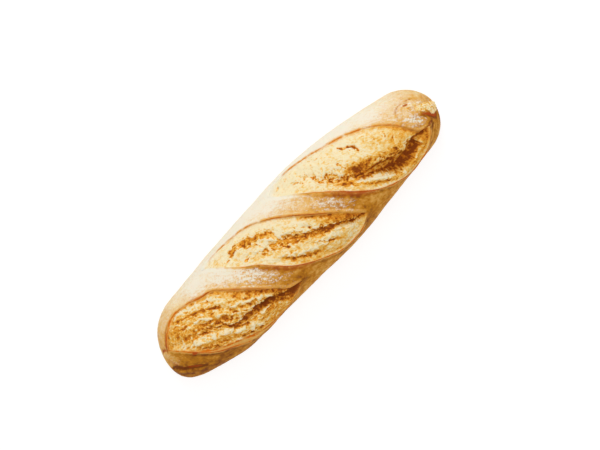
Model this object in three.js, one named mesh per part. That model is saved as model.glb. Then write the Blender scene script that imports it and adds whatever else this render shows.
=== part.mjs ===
// A short baguette with three slanting slashes, as one solid loaf.
// Millimetres, +Z up. The loaf lies along X on its flat base, with the origin under its middle.
import * as THREE from 'three';
import { SimplexNoise } from 'three/addons/math/SimplexNoise.js';
import { mergeVertices } from 'three/addons/utils/BufferGeometryUtils.js';

// Driving dimensions of the smooth loaf, before the slashes open it.
const LENGTH = 260;
const WIDTH = 70.8;
const HEIGHT = 49;

// The loaf's form. A share is of the half length, the half width or the height.
// Each station: place along, half width, sideways shift, height.
const STATIONS = [
  [-1.0, 0.782, -0.155, 0.85],
  [-0.923, 0.782, -0.034, 0.86],
  [-0.808, 0.797, 0.017, 0.88],
  [-0.615, 0.907, -0.025, 0.93],
  [-0.385, 0.941, 0.008, 0.96],
  [-0.077, 0.977, 0.025, 0.985],
  [0.192, 1.0, 0.025, 1.0],
  [0.462, 0.907, 0.02, 0.94],
  [0.692, 0.78, -0.017, 0.87],
  [0.846, 0.684, -0.054, 0.8],
  [1.0, 0.607, -0.071, 0.74],
];
const LEFT_CAP = 31; // length over which the left end rounds off
const RIGHT_CAP = 22;
const TIP_HEIGHT = 17; // where the two ends come to their tips
const WIDEST_SHARE = 0.43; // height of the widest line, of the loaf's height
const UNDERSIDE_DEPTH = 3.2; // how far the round underside would pass the flat base
const UNDERSIDE_POWER = 2.4; // 2 is an ellipse, more is a squarer lower corner

// The slashes. Angles are degrees round the loaf from its crown, positive towards +Y.
// Lip points are [place along, angle]. Tear points add the tear's depth and half its width in millimetres.
const SLASHES = [
  {
    upper: [[-0.927, 20], [-0.9, 32], [-0.847, 39], [-0.778, 44], [-0.692, 40], [-0.612, 31],
      [-0.538, 25], [-0.462, 7], [-0.388, -9], [-0.302, -28], [-0.249, -42], [-0.158, -50]],
    lower: [[-0.927, 20], [-0.9, 5], [-0.831, -20], [-0.756, -39], [-0.649, -52], [-0.542, -71],
      [-0.436, -79], [-0.302, -69], [-0.222, -59], [-0.158, -50]],
    tear: [[-0.862, 2, 1.5, 0.3], [-0.782, -9, 2.5, 0.5], [-0.702, -11, 2.5, 0.5], [-0.622, -19, 3, 0.5],
      [-0.58, -28, 4.5, 0.8], [-0.516, -32, 5, 0.8], [-0.409, -35, 6, 1], [-0.356, -38, 6.5, 1],
      [-0.313, -47, 7, 1], [-0.26, -54, 6, 0.8], [-0.158, -50, 1.5, 0]],
    swell: 1.2,
  },
  {
    upper: [[-0.5, 57], [-0.468, 63], [-0.382, 62], [-0.298, 59], [-0.196, 52], [-0.089, 37], [0.018, 18],
      [0.124, -2], [0.231, -22], [0.332, -50]],
    lower: [[-0.5, 57], [-0.436, 39], [-0.345, 16], [-0.276, 4], [-0.212, -12], [-0.148, -27],
      [-0.062, -42], [0.022, -54], [0.113, -65], [0.231, -65], [0.332, -50]],
    tear: [[-0.36, 34, 1, 0], [-0.276, 12, 2, 0.8], [-0.201, 5, 3, 1.5], [-0.137, -5, 3.5, 1.8],
      [-0.063, -6, 4, 2], [0.023, -16, 4, 1.5], [0.108, -25, 5.5, 1.6], [0.177, -29, 6, 1.6],
      [0.204, -38, 5, 1], [0.273, -50, 5, 1], [0.332, -50, 1.5, 0]],
    swell: 0.6,
  },
  {
    upper: [[0.012, 58], [0.055, 68], [0.151, 70], [0.284, 64], [0.418, 54], [0.524, 47], [0.631, 35],
      [0.705, 22], [0.758, 7], [0.802, -14], [0.833, -24], [0.887, -32]],
    lower: [[0.012, 58], [0.06, 42], [0.135, 27], [0.22, 11], [0.3, -5], [0.364, -20], [0.449, -39],
      [0.551, -58], [0.658, -75], [0.764, -70], [0.833, -54], [0.887, -32]],
    tear: [[0.14, 42, 1, 0], [0.236, 34, 2, 0.5], [0.268, 21, 3, 0.8], [0.322, 6, 4, 1.2],
      [0.391, -6, 5, 1.2], [0.471, -14.5, 7, 2], [0.524, -17.5, 9, 4], [0.561, -23, 10.5, 5.5],
      [0.599, -30, 12, 6], [0.641, -38, 12, 5.8], [0.684, -38, 10.5, 4.6], [0.727, -33, 8, 3],
      [0.769, -29, 6, 2.2], [0.84, -31, 3.5, 1], [0.887, -32, 1.5, 0]],
    swell: 2.2,
  },
];
const MIDDLE_RADIUS = 31; // turns an angle round the loaf into millimetres
const LIP_RISE = 1.6; // the curled crust edge on the lower side of a slash
const EAR_RISE = 1.0; // the crust edge on the upper side
const LIP_SPREAD = 4; // how far a raised edge reaches into the crust
const LIP_WALL = 2.6; // reach of the wall from a lip down to the crumb
const CRUMB_SINK = 1.1; // the opened crumb lies this far under the crust
const EAR_UNDERCUT = 2.4; // and this much deeper under the upper lip's lower end
const EAR_REACH = 3;
const TEAR_WALL = 3; // reach of the tear's steep upper wall
const TEAR_SLOPE = 5; // reach of its gentle lower side
const SWELL_REACH = 9; // the crumb swells up over this distance from lip and tear

const CRAG_HEIGHT = 0.8; // the torn crumb's roughness
const CRAG_SIZE = 6.5;
const CRAG_SEED = 3;

// Cracks, pockets and folds: a line of [place along, angle, depth], and how far it reaches to each side.
// A depth below zero stands up.
const FOLDS = [
  // pockets under the middle slash's upper lip
  { reach: 2.4, line: [[-0.335, 42, 1.6], [-0.276, 40, 2.4], [-0.223, 38, 1.2]] },
  { reach: 2.6, line: [[-0.239, 35, 2], [-0.191, 30, 2.8], [-0.143, 25, 2.4], [-0.116, 19, 1]] },
  // cracks of the right slash's pillow, and the cave beside its deep tear
  { reach: 2.2, line: [[0.44, 37, 0.8], [0.476, 28, 1.8], [0.505, 24, 2.4], [0.527, 17, 1]] },
  { reach: 2.8, line: [[0.295, 21, 1.5], [0.319, 16, 3], [0.343, 11, 1.8]] },
  { reach: 3.2, line: [[0.401, 5, 1.5], [0.428, 1, 3], [0.455, -5, 2]] },
  // the left slash's long fold
  { reach: 2.2, line: [[-0.905, 6, 0.5], [-0.809, 8, 1.2], [-0.703, 12, 1.2], [-0.596, 3, 1]] },
  // the left end's crease, and the roll below it
  { reach: 2.2, line: [[-0.99, -3, 1], [-0.943, -28, 1.8], [-0.879, -43, 0.8]] },
  { reach: 3.2, line: [[-0.985, -35, -0.6], [-0.937, -46, -1.1], [-0.873, -57, -0.5]] },
  // the right end's torn knob, and the slit below it
  { reach: 3.4, line: [[0.925, 8, -0.6], [0.951, -6, -1.5], [0.978, -26, -1.3]] },
  { reach: 1.9, line: [[0.9, -14, 0.8], [0.929, -26, 2.2], [0.952, -42, 1.2]] },
];

// Steps of the skin.
const AROUND = 48;
const ALONG = 104;
const CROWN_SHARE = 0.6; // below 1, columns crowd towards the crown
const CROWN_POWER = 3; // and this much more the further down the side
const END_CROWDING = 0.15; // above 0, rings crowd towards the two ends
const END_POWER = 6;
const TIP_FLAT = 1; // no relief this near the tips
const NORMAL_STEP = 0.5; // millimetres along and degrees round
const LINE_STEPS = 10; // straight pieces between two points of a curve
const SEAM_GAP = 1e-3; // skin points closer than this are one

const HALF = LENGTH / 2;
const smooth = (t) => THREE.MathUtils.smoothstep(t, 0, 1);
const hump = (distance, reach) => Math.exp(-((distance / reach) ** 2));

// A smooth curve through points whose first number grows, as a function of that number.
function curveThrough(points, column = 1) {
  const line = new THREE.SplineCurve(points.map((p) => new THREE.Vector2(p[0], p[column])));
  const samples = line.getPoints(points.length * LINE_STEPS);
  return (at) => {
    let i = samples.findIndex((s) => s.x >= at);
    if (i === 0) return samples[0].y;
    if (i < 0) return samples[samples.length - 1].y;
    const [a, b] = [samples[i - 1], samples[i]];
    return THREE.MathUtils.mapLinear(at, a.x, b.x, a.y, b.y);
  };
}

const halfWidthAt = curveThrough(STATIONS, 1);
const shiftAt = curveThrough(STATIONS, 2);
const heightAt = curveThrough(STATIONS, 3);

// The smooth loaf's surface at x and at an angle from the crown.
function loafPoint(x, angle) {
  const along = x / HALF;
  const capLength = x < 0 ? LEFT_CAP : RIGHT_CAP;
  const intoCap = Math.max(0, 1 - (HALF - Math.abs(x)) / capLength);
  const cap = Math.sqrt(Math.max(0, 1 - intoCap ** 2));
  const halfWidth = (WIDTH / 2) * halfWidthAt(along) * cap;
  const height = HEIGHT * heightAt(along);
  const top = THREE.MathUtils.lerp(TIP_HEIGHT, height, cap);
  const widest = THREE.MathUtils.lerp(TIP_HEIGHT, WIDEST_SHARE * height, cap);
  const under = THREE.MathUtils.lerp(TIP_HEIGHT, -UNDERSIDE_DEPTH, cap);
  const turn = THREE.MathUtils.degToRad(angle);
  let [across, up] = [Math.sin(turn), Math.cos(turn)];
  if (up < 0) {
    across = Math.sign(across) * Math.abs(across) ** (2 / UNDERSIDE_POWER);
    up = -(Math.abs(up) ** (2 / UNDERSIDE_POWER));
  }
  const z = up > 0 ? widest + (top - widest) * up : widest + (widest - under) * up;
  return new THREE.Vector3(x, (WIDTH / 2) * shiftAt(along) + halfWidth * across, Math.max(0, z));
}

// The outward normal of the smooth loaf, from two short steps on its surface.
function loafNormal(x, angle) {
  const onward = Math.min(HALF - TIP_FLAT, x + NORMAL_STEP);
  const back = Math.max(TIP_FLAT - HALF, x - NORMAL_STEP);
  const lengthwise = loafPoint(onward, angle).sub(loafPoint(back, angle));
  const round = loafPoint(x, angle + NORMAL_STEP).sub(loafPoint(x, angle - NORMAL_STEP));
  return lengthwise.cross(round).normalize();
}

// The unrolled skin: x, and millimetres round the loaf from its crown.
const MM_PER_DEGREE = THREE.MathUtils.degToRad(1) * MIDDLE_RADIUS;
const unrolled = ([along, angle]) => new THREE.Vector2(along * HALF, angle * MM_PER_DEGREE);

// A line on the unrolled skin that can tell how far it is from a point.
function skinLine(points) {
  const line = new THREE.SplineCurve(points.map(unrolled));
  const last = points[0].length - 1;
  const depths = curveThrough(points, Math.min(2, last));
  const widths = curveThrough(points, last);
  const samples = line.getPoints(points.length * LINE_STEPS);
  return (from) => {
    let nearest = { distance: Infinity };
    for (let i = 1; i < samples.length; i++) {
      const span = samples[i].clone().sub(samples[i - 1]);
      const passed = from.clone().sub(samples[i - 1]).dot(span) / span.lengthSq();
      const spot = samples[i - 1].clone().addScaledVector(span, THREE.MathUtils.clamp(passed, 0, 1));
      const distance = spot.distanceTo(from);
      if (distance < nearest.distance) nearest = { distance, spot };
    }
    const along = nearest.spot.x / HALF;
    return { ...nearest, depth: depths(along), width: widths(along) };
  };
}

const slashes = SLASHES.map(({ upper, lower, tear, swell }) => ({
  from: upper[0][0] * HALF,
  to: upper[upper.length - 1][0] * HALF,
  upperAngle: curveThrough(upper),
  lowerAngle: curveThrough(lower),
  tearAngle: curveThrough(tear),
  toUpper: skinLine(upper),
  toLower: skinLine(lower),
  toTear: skinLine(tear),
  swell,
}));

// The slash whose crumb a spot of the skin lies in, if any.
function slashAt(spot) {
  const along = spot.x / HALF;
  const angle = spot.y / MM_PER_DEGREE;
  return slashes.find((s) => spot.x > s.from && spot.x < s.to
    && angle < s.upperAngle(along) && angle > s.lowerAngle(along));
}

function nearestLip(spot) {
  const near = slashes.flatMap((s) => [s.toUpper(spot), s.toLower(spot)]);
  return near.reduce((a, b) => (b.distance < a.distance ? b : a));
}

THREE.MathUtils.seededRandom(CRAG_SEED);
const noise = new SimplexNoise({ random: () => THREE.MathUtils.seededRandom() });
const cragAt = ({ x, y }) => CRAG_HEIGHT * noise.noise(x / CRAG_SIZE, y / CRAG_SIZE);

// How far the crumb inside a slash lies from the smooth loaf. At the lips it comes up to the crust.
function crumbRelief(slash, spot) {
  const upper = slash.toUpper(spot).distance;
  const lower = slash.toLower(spot).distance;
  const { distance, depth, width } = slash.toTear(spot);
  const beside = Math.max(0, distance - width);
  const aboveTear = spot.y > MM_PER_DEGREE * slash.tearAngle(spot.x / HALF);
  const swell = aboveTear ? slash.swell * smooth(upper / SWELL_REACH) * smooth(beside / SWELL_REACH) : 0;
  const torn = depth * hump(beside, aboveTear ? TEAR_WALL : TEAR_SLOPE) * smooth(lower / TEAR_SLOPE);
  const down = (spot.x - slash.from) / (slash.to - slash.from);
  const sunk = CRUMB_SINK + EAR_UNDERCUT * down * hump(upper, EAR_REACH);
  const bed = swell - torn - sunk + cragAt(spot);
  return THREE.MathUtils.lerp(crustRelief(spot), bed, smooth(Math.min(upper, lower) / LIP_WALL));
}

// How far the crust lies from the smooth loaf: its edges curl up along the slashes.
function crustRelief(spot) {
  const rises = slashes.map((s) => Math.max(
    EAR_RISE * hump(s.toUpper(spot).distance, LIP_SPREAD),
    LIP_RISE * hump(s.toLower(spot).distance, LIP_SPREAD),
  ));
  return Math.max(...rises);
}

const folds = FOLDS.map(({ reach, line }) => ({ reach, toLine: skinLine(line) }));

function foldRelief(spot) {
  return folds.reduce((sum, { reach, toLine }) => {
    const { distance, depth } = toLine(spot);
    return sum - depth * hump(distance, reach);
  }, 0);
}

function relief({ spot, slash }) {
  return foldRelief(spot) + (slash ? crumbRelief(slash, spot) : crustRelief(spot));
}

// Where each vertex of a sphere's grid goes on the unrolled skin.
function placesOnSkin(uv) {
  return Array.from({ length: uv.count }, (_, i) => {
    const round = 2 * uv.getX(i) - 1;
    const lengthwise = 2 * uv.getY(i) - 1;
    const angle = 180 * (CROWN_SHARE * round + (1 - CROWN_SHARE) * round * Math.abs(round) ** CROWN_POWER);
    const x = HALF * lengthwise * (1 + END_CROWDING * (1 - lengthwise ** END_POWER));
    const spot = new THREE.Vector2(x, angle * MM_PER_DEGREE);
    return { spot, slash: slashAt(spot), lip: nearestLip(spot) };
  });
}

// Of two neighbours on either side of a lip the nearer moves onto it, so the lip is one clean edge.
function pullToLips(places) {
  const row = AROUND + 1;
  const steps = [1, row, row + 1];
  const pulled = new Set();
  places.forEach((place, i) => {
    steps.map((step) => places[i + step]).filter(Boolean).forEach((other) => {
      if (other.slash === place.slash) return;
      pulled.add(other.lip.distance < place.lip.distance ? other : place);
    });
  });
  pulled.forEach((place) => Object.assign(place, { spot: place.lip.spot, slash: undefined }));
}

// The grid is laid mirrored, so that its diagonals run with the slashes.
// This turns its faces outward again.
function turnFacesOver(index) {
  for (let i = 0; i < index.count; i += 3) {
    const [b, c] = [index.getX(i + 1), index.getX(i + 2)];
    index.setX(i + 1, c);
    index.setX(i + 2, b);
  }
}

// The loaf's skin is a sphere's, with each vertex carried from its place on the sphere to the loaf.
function baguetteGeometry() {
  const geometry = new THREE.SphereGeometry(1, AROUND, ALONG);
  const { position, uv } = geometry.attributes;
  const places = placesOnSkin(uv);
  pullToLips(places);
  places.forEach((place, i) => {
    const { spot } = place;
    const angle = spot.y / MM_PER_DEGREE;
    const point = loafPoint(spot.x, angle);
    const free = point.z > 0 && Math.abs(spot.x) < HALF - TIP_FLAT;
    if (free) point.addScaledVector(loafNormal(spot.x, angle), relief(place));
    position.setXYZ(i, point.x, point.y, point.z);
  });
  turnFacesOver(geometry.index);
  geometry.deleteAttribute('normal');
  geometry.deleteAttribute('uv');
  const closed = mergeVertices(geometry, SEAM_GAP);
  closed.computeBoundingBox();
  const middle = closed.boundingBox.getCenter(new THREE.Vector3());
  closed.translate(-middle.x, -middle.y, 0);
  closed.computeVertexNormals();
  return closed;
}

const bread = new THREE.MeshStandardMaterial({ color: 0xdcaa62, roughness: 0.85, metalness: 0 });
const baguette = new THREE.Mesh(baguetteGeometry(), bread);
baguette.name = 'baguette';

const part = new THREE.Group();
part.add(baguette);

export default part;
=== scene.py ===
"""A short baguette: its floured crust, the torn crumb in its three slashes, and a pale studio."""

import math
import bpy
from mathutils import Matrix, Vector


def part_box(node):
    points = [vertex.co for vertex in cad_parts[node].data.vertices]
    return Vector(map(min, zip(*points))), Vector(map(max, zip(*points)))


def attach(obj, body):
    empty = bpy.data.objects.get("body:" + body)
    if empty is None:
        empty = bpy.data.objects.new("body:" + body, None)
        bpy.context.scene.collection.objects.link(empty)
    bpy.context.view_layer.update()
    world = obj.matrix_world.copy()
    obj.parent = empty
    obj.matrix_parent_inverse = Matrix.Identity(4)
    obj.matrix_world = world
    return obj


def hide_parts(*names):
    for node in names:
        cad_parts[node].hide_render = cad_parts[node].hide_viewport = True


bl_info = {
    "name": "Short Baguette",
    "version": (1, 0, 0),
    "blender": (4, 5, 0),
    "location": "View3D > Sidebar > Baguette",
    "description": "Makes the crust, torn crumb and studio of a short slashed baguette",
    "category": "Add Mesh",
}

import bpy
import numpy as np
from mathutils import Matrix, Vector, noise

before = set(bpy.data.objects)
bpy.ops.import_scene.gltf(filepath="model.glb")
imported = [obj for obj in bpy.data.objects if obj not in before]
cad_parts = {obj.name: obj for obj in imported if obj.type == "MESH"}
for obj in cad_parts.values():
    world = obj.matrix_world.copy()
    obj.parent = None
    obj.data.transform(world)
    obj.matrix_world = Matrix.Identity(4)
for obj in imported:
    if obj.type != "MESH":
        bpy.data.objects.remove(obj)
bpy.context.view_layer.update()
LOAF_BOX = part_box("baguette")
LOAF_SIZE = LOAF_BOX[1] - LOAF_BOX[0]

MM = 0.001
SWELL_ABOVE_CROWN = 1.022  # the crumb swells this much above the crown of the smooth loaf

# The loaf's form. A share is of the half length, the half width or the height.
# Each station: place along, half width, sideways shift, height.
STATIONS = (
    (-1.0, 0.782, -0.155, 0.85),
    (-0.923, 0.782, -0.034, 0.86),
    (-0.808, 0.797, 0.017, 0.88),
    (-0.615, 0.907, -0.025, 0.93),
    (-0.385, 0.941, 0.008, 0.96),
    (-0.077, 0.977, 0.025, 0.985),
    (0.192, 1.0, 0.025, 1.0),
    (0.462, 0.907, 0.02, 0.94),
    (0.692, 0.78, -0.017, 0.87),
    (0.846, 0.684, -0.054, 0.8),
    (1.0, 0.607, -0.071, 0.74),
)
LEFT_CAP = 31.0  # millimetres over which an end rounds off
RIGHT_CAP = 22.0
TIP_HEIGHT = 17.0
WIDEST_SHARE = 0.43  # height of the widest line, of the loaf's height
UNDERSIDE_DEPTH = 3.2  # how far the round underside would pass the flat base
UNDERSIDE_POWER = 2.4
MIDDLE_RADIUS = 31.0  # turns an angle round the loaf into millimetres
MM_PER_DEGREE = math.radians(1) * MIDDLE_RADIUS

# The slashes. Angles are degrees round the loaf from its crown, positive towards +Y.
# Lip points are (place along, angle). Tear points add the tear's depth and half its width in millimetres.
# Folds, pits and stains are lines: how far the line reaches to its sides in millimetres, and its points of
# (place along, angle, amount). A fold's amount is its depth, and below zero it stands up. A pit's amount says
# how full of holes the crumb is, and a stain's how golden, or below zero how pale.
SLASHES = {
    "left": {
        "upper": ((-0.927, 20), (-0.9, 32), (-0.847, 39), (-0.778, 44), (-0.692, 40), (-0.612, 31),
                  (-0.538, 25), (-0.462, 7), (-0.388, -9), (-0.302, -28), (-0.249, -42), (-0.158, -50)),
        "lower": ((-0.927, 20), (-0.9, 5), (-0.831, -20), (-0.756, -39), (-0.649, -52), (-0.542, -71),
                  (-0.436, -79), (-0.302, -69), (-0.222, -59), (-0.158, -50)),
        "tear": ((-0.927, 20, 0, 0), (-0.862, 2, 0.4, 0.3), (-0.782, -6, 0.8, 0.4), (-0.702, -10, 1, 0.4),
                 (-0.622, -19, 1.6, 0.5), (-0.58, -27, 3, 0.6), (-0.516, -31, 4.4, 0.8),
                 (-0.447, -33, 5.2, 1), (-0.383, -37, 6, 1), (-0.329, -44, 6, 1), (-0.287, -52, 5.5, 1),
                 (-0.225, -56, 5, 0.8), (-0.158, -50, 1, 0)),
        "swell": 1.2,
        "ragged": 1.2,
        "golden": 0.4,
        "tear_reach": 1.0,
        "floured": 0.0,
        "cells": (3.8, 0.4, 0.75),
        "paler_up": 0.08,
        "ear": (0.6, 1.0),
        "ear_drop": 2.2,
        "ear_shade": ((0, 0.9), (0.15, 1.1), (0.3, 0.7), (0.45, 1.0), (0.6, 0.8), (0.75, 0.5), (0.9, 0.3),
                      (1, 0)),
        "lip": (0.7, 1.2),
        "lip_shade": ((0, 0.8), (0.3, 1.1), (0.6, 0.8), (0.85, 0.5), (1, 0)),
        "line_width": 1.15,
        "under_ear": 0.24,
        "rind": ((-0.88, 0), (-0.8, 1.2), (-0.7, 2.8), (-0.6, 3.8), (-0.5, 3.6), (-0.4, 1.8), (-0.33, 0)),
        "folds": (
            (2.0, ((-0.905, 6, 0.4), (-0.809, 4, 0.8), (-0.703, 2, 0.9), (-0.6, -8, 0.8))),
            (1.4, ((-0.78, -26, 0.2), (-0.735, -31, 0.35), (-0.665, -38, 0.4), (-0.6, -46, 0.6),
                   (-0.5, -60, 0.5))),
            (2.4, ((-0.911, 10, -0.3), (-0.841, -3, -0.7), (-0.777, -12, -1), (-0.703, -17, -1.1),
                   (-0.639, -24, -1.1), (-0.596, -32, -1), (-0.559, -40, -0.9), (-0.511, -48, -0.7))),
            (1.6, ((-0.708, -36, -0.5), (-0.66, -41, -0.7), (-0.607, -47, -0.5))),
            (1.3, ((-0.777, 39, -0.5), (-0.745, 37, -0.9), (-0.692, 31, -1.1), (-0.639, 25, -0.8))),
            (1.2, ((-0.809, 35, 0.3), (-0.767, 28, 0.5), (-0.713, 23, 0.6), (-0.66, 18, 0.6),
                   (-0.569, 5, 0.6))),
            (1.4, ((-0.756, 12, -0.4), (-0.692, 10, -0.9), (-0.628, 0, -1), (-0.564, -7, -0.8))),
            (1.2, ((-0.799, -5, -0.4), (-0.724, -12, -0.6), (-0.649, -16, -0.6))),
            (1.2, ((-0.527, -5, -0.5), (-0.473, -12, -1), (-0.399, -22, -1.1), (-0.335, -33, -0.8))),
            (1.6, ((-0.5, 5, 0.4), (-0.43, -7, 0.8), (-0.36, -22, 1), (-0.29, -38, 0.9))),
        ),
        "pits": (
            (1.3, ((-0.64, 16, 0.3), (-0.61, 11, 0.55), (-0.59, 8, 0.4))),
            (1.2, ((-0.607, 22, 0.9), (-0.6, 21, 0.9))),
            (1.2, ((-0.56, 15, 0.9), (-0.55, 13, 0.9))),
            (2.4, ((-0.79, -2, 0.3), (-0.724, -6, 0.4), (-0.66, -9, 0.4), (-0.61, -15, 0.3))),
            (8.0, ((-0.87, 20, 0.3), (-0.8, 14, 0.26), (-0.66, 8, 0.26), (-0.5, -12, 0.2))),
        ),
        "stains": (
            (6.0, ((-0.9, 27, 0.26), (-0.852, 18, 0.24), (-0.77, 6, 0.2), (-0.7, -2, 0.16),
                   (-0.64, -8, 0.16))),
            (1.3, ((-0.809, 35, 0.25), (-0.767, 28, 0.3), (-0.713, 23, 0.32), (-0.66, 18, 0.32),
                   (-0.569, 5, 0.35))),
            (2.2, ((-0.8, -22, 0.15), (-0.767, -27, 0.3), (-0.735, -33, 0.32), (-0.697, -36, 0.3),
                   (-0.655, -39, 0.26))),
            (1.5, ((-0.649, -34, 0.2), (-0.607, -41, 0.3), (-0.559, -52, 0.3), (-0.516, -60, 0.25),
                   (-0.42, -68, 0.25))),
            (2.0, ((-0.911, 10, -0.12), (-0.841, -3, -0.24), (-0.777, -11, -0.34), (-0.703, -16, -0.36),
                   (-0.639, -22, -0.36), (-0.596, -32, -0.36), (-0.559, -41, -0.34), (-0.511, -50, -0.32),
                   (-0.463, -58, -0.25))),
            (1.6, ((-0.708, -37, -0.3), (-0.66, -42, -0.36), (-0.607, -47, -0.3))),
            (1.4, ((-0.777, 39, -0.3), (-0.745, 37, -0.42), (-0.692, 31, -0.45), (-0.639, 25, -0.35))),
            (1.2, ((-0.6, 24, -0.25), (-0.569, 15, -0.35), (-0.532, 8, -0.3))),
            (1.3, ((-0.756, 12, -0.2), (-0.692, 10, -0.25), (-0.628, 0, -0.2))),
            (5.0, ((-0.66, -6, 0.1), (-0.6, -12, 0.16), (-0.53, -20, 0.16), (-0.47, -26, 0.1))),
            (1.1, ((-0.527, -5, -0.2), (-0.473, -12, -0.3), (-0.399, -22, -0.3), (-0.335, -33, -0.2))),
            # Darker along the deep end of the tear: partly painted shade.
            (1.6, ((-0.31, -48, 0.3), (-0.27, -54, 0.6), (-0.21, -54, 0.75), (-0.165, -51, 0.6))),
            (2.5, ((-0.447, -46, 0.1), (-0.383, -51, 0.16), (-0.329, -59, 0.16))),
            (2.6, ((-0.42, -34, 0.1), (-0.35, -41, 0.35), (-0.3, -48, 0.5), (-0.25, -53, 0.5),
                   (-0.2, -53, 0.4))),
            (3.0, ((-0.41, -44, 0.05), (-0.329, -52, 0.22), (-0.27, -58, 0.26), (-0.2, -59, 0.2))),
        ),
    },
    "middle": {
        "upper": ((-0.5, 57), (-0.468, 63), (-0.382, 62), (-0.298, 59), (-0.196, 52), (-0.089, 37),
                  (0.018, 18), (0.124, -2), (0.231, -22), (0.332, -50)),
        "lower": ((-0.5, 57), (-0.436, 39), (-0.345, 16), (-0.276, 4), (-0.212, -12), (-0.148, -27),
                  (-0.062, -42), (0.022, -54), (0.113, -65), (0.231, -65), (0.332, -50)),
        "tear": ((-0.5, 57, 0, 0), (-0.36, 34, 0.4, 0), (-0.276, 14, 0.6, 0.8), (-0.201, 8, 0.9, 1.5),
                 (-0.127, 3, 1.2, 1.8), (-0.06, -4, 1.4, 1.8), (0.023, -15, 1.5, 1.2),
                 (0.085, -23, 2.3, 1.2), (0.16, -29, 2.6, 0.6), (0.21, -38, 3.8, 0.5),
                 (0.265, -46, 4.5, 0.7), (0.332, -50, 1, 0)),
        "swell": 0.6,
        "ragged": 0.7,
        "golden": 0.15,
        "tear_reach": 0.65,
        "floured": 0.6,
        "cells": (3.6, 0.75, 0.85),
        "paler_up": 0.08,
        "ear": (0.0, 0.9),
        "ear_drop": 1.4,
        "ear_shade": ((0, -0.3), (0.08, 0.1), (0.2, 0.3), (0.4, 0.4), (0.55, 1), (0.75, 1.2), (0.88, 0.5),
                      (1, 0)),
        "lip": (0.4, 1.1),
        "lip_shade": ((0, -0.3), (0.08, 0.1), (0.25, 0.7), (0.6, 1.2), (0.85, 1), (1, 0)),
        "line_width": 1.0,
        "under_ear": 0.14,
        "rind": ((-0.5, 0), (0.332, 0)),
        "folds": (
            (2.6, ((-0.335, 41, 0.5), (-0.276, 40, 0.7), (-0.228, 36, 0.5))),
            (2.8, ((-0.239, 32, 0.5), (-0.191, 29, 0.8), (-0.143, 25, 0.7), (-0.116, 20, 0.5))),
            (1.4, ((-0.18, -7, 0.4), (-0.143, -15, 0.8), (-0.095, -25, 0.9), (-0.041, -34, 0.8),
                   (0.017, -41, 0.4))),
            (1.8, ((-0.24, -1, -0.5), (-0.13, -12, -0.9), (-0.05, -24, -0.9), (0.06, -36, -0.7))),
            (2.0, ((-0.02, 18, 0.4), (0.097, 2, 0.8), (0.156, -9, 0.9), (0.204, -19, 0.5),
                   (0.257, -31, 0.2))),
        ),
        "pits": (
            (3.0, ((-0.335, 40, 0.8), (-0.276, 40, 0.95), (-0.23, 36, 0.8))),
            (3.2, ((-0.235, 31, 0.8), (-0.191, 29, 0.95), (-0.15, 26, 0.95), (-0.118, 20, 0.8))),
            (1.1, ((-0.377, 36, 1.2), (-0.367, 36, 1.2))),
            (1.2, ((-0.393, 62, 1.3), (-0.375, 62, 1.3))),
            (1.1, ((-0.308, 18, 0.9), (-0.276, 18, 0.9))),
            (3.0, ((-0.21, 8, 0.7), (-0.127, 7, 0.8), (-0.084, 1, 0.8), (-0.031, -5, 0.8))),
            (3.6, ((-0.132, 0, 0.5), (-0.031, -6, 0.7), (0.055, -16, 0.8), (0.124, -23, 0.8))),
            (1.4, ((0.023, -26, 0.8), (0.04, -30, 0.8), (0.09, -40, 0.8), (0.11, -43, 0.8))),
            (9.0, ((-0.3, 30, 0.3), (0, 0, 0.3), (0.12, -20, 0.2))),
        ),
        "stains": (
            (2.9, ((-0.335, 41, 0.38), (-0.276, 40, 0.46), (-0.23, 36, 0.38))),
            (3.1, ((-0.235, 31, 0.38), (-0.191, 29, 0.48), (-0.15, 26, 0.44), (-0.118, 20, 0.36))),
            (3.4, ((-0.2, 8, 0.06), (-0.127, 4, 0.16), (-0.031, -6, 0.2), (0.055, -17, 0.24),
                   (0.124, -24, 0.2))),
            (2.0, ((-0.18, -7, 0.25), (-0.143, -15, 0.4), (-0.095, -25, 0.42), (-0.041, -34, 0.4),
                   (0.017, -41, 0.2))),
            (1.4, ((0.0, -35, 0.2), (0.06, -39, 0.3), (0.11, -43, 0.35), (0.16, -50, 0.2))),
            (1.3, ((0.081, -26, 0.2), (0.14, -30, 0.3), (0.183, -33, 0.3))),
            (3.8, ((0.1, -6, 0.08), (0.15, -17, 0.27), (0.2, -27, 0.44), (0.26, -39, 0.44),
                   (0.32, -48, 0.36))),
            (5.0, ((-0.16, -22, 0.06), (-0.1, -34, 0.16), (-0.03, -46, 0.2), (0.05, -54, 0.16),
                   (0.13, -58, 0.1))),
            (9.0, ((-0.3, 50, -0.1), (-0.15, 42, -0.2), (-0.05, 30, -0.24), (0.03, 14, -0.16))),
            (1.1, ((0.08, -21, 0.3), (0.16, -29, 0.4), (0.21, -37, 0.4), (0.26, -46, 0.5),
                   (0.33, -50, 0.5))),
            (3.0, ((-0.24, 0, -0.14), (-0.12, -20, -0.14), (-0.05, -30, -0.1))),
            (2.4, ((-0.191, 17, -0.15), (-0.137, 14, -0.2), (-0.084, 11, -0.15))),
            (2.6, ((-0.2, 2, 0.1), (-0.116, -5, 0.16), (-0.05, -9, 0.24), (0.0, -14, 0.34),
                   (0.05, -19, 0.16))),
            (2.4, ((0.04, 12, 0.1), (0.097, 2, 0.2), (0.14, -7, 0.14))),
        ),
    },
    "right": {
        "upper": ((0.012, 58), (0.055, 68), (0.151, 70), (0.284, 64), (0.418, 54), (0.524, 47), (0.631, 35),
                  (0.705, 22), (0.758, 7), (0.802, -14), (0.833, -24), (0.887, -32)),
        "lower": ((0.012, 58), (0.06, 42), (0.135, 27), (0.22, 11), (0.3, -5), (0.364, -20), (0.449, -39),
                  (0.551, -58), (0.658, -75), (0.764, -70), (0.833, -54), (0.887, -32)),
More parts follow.
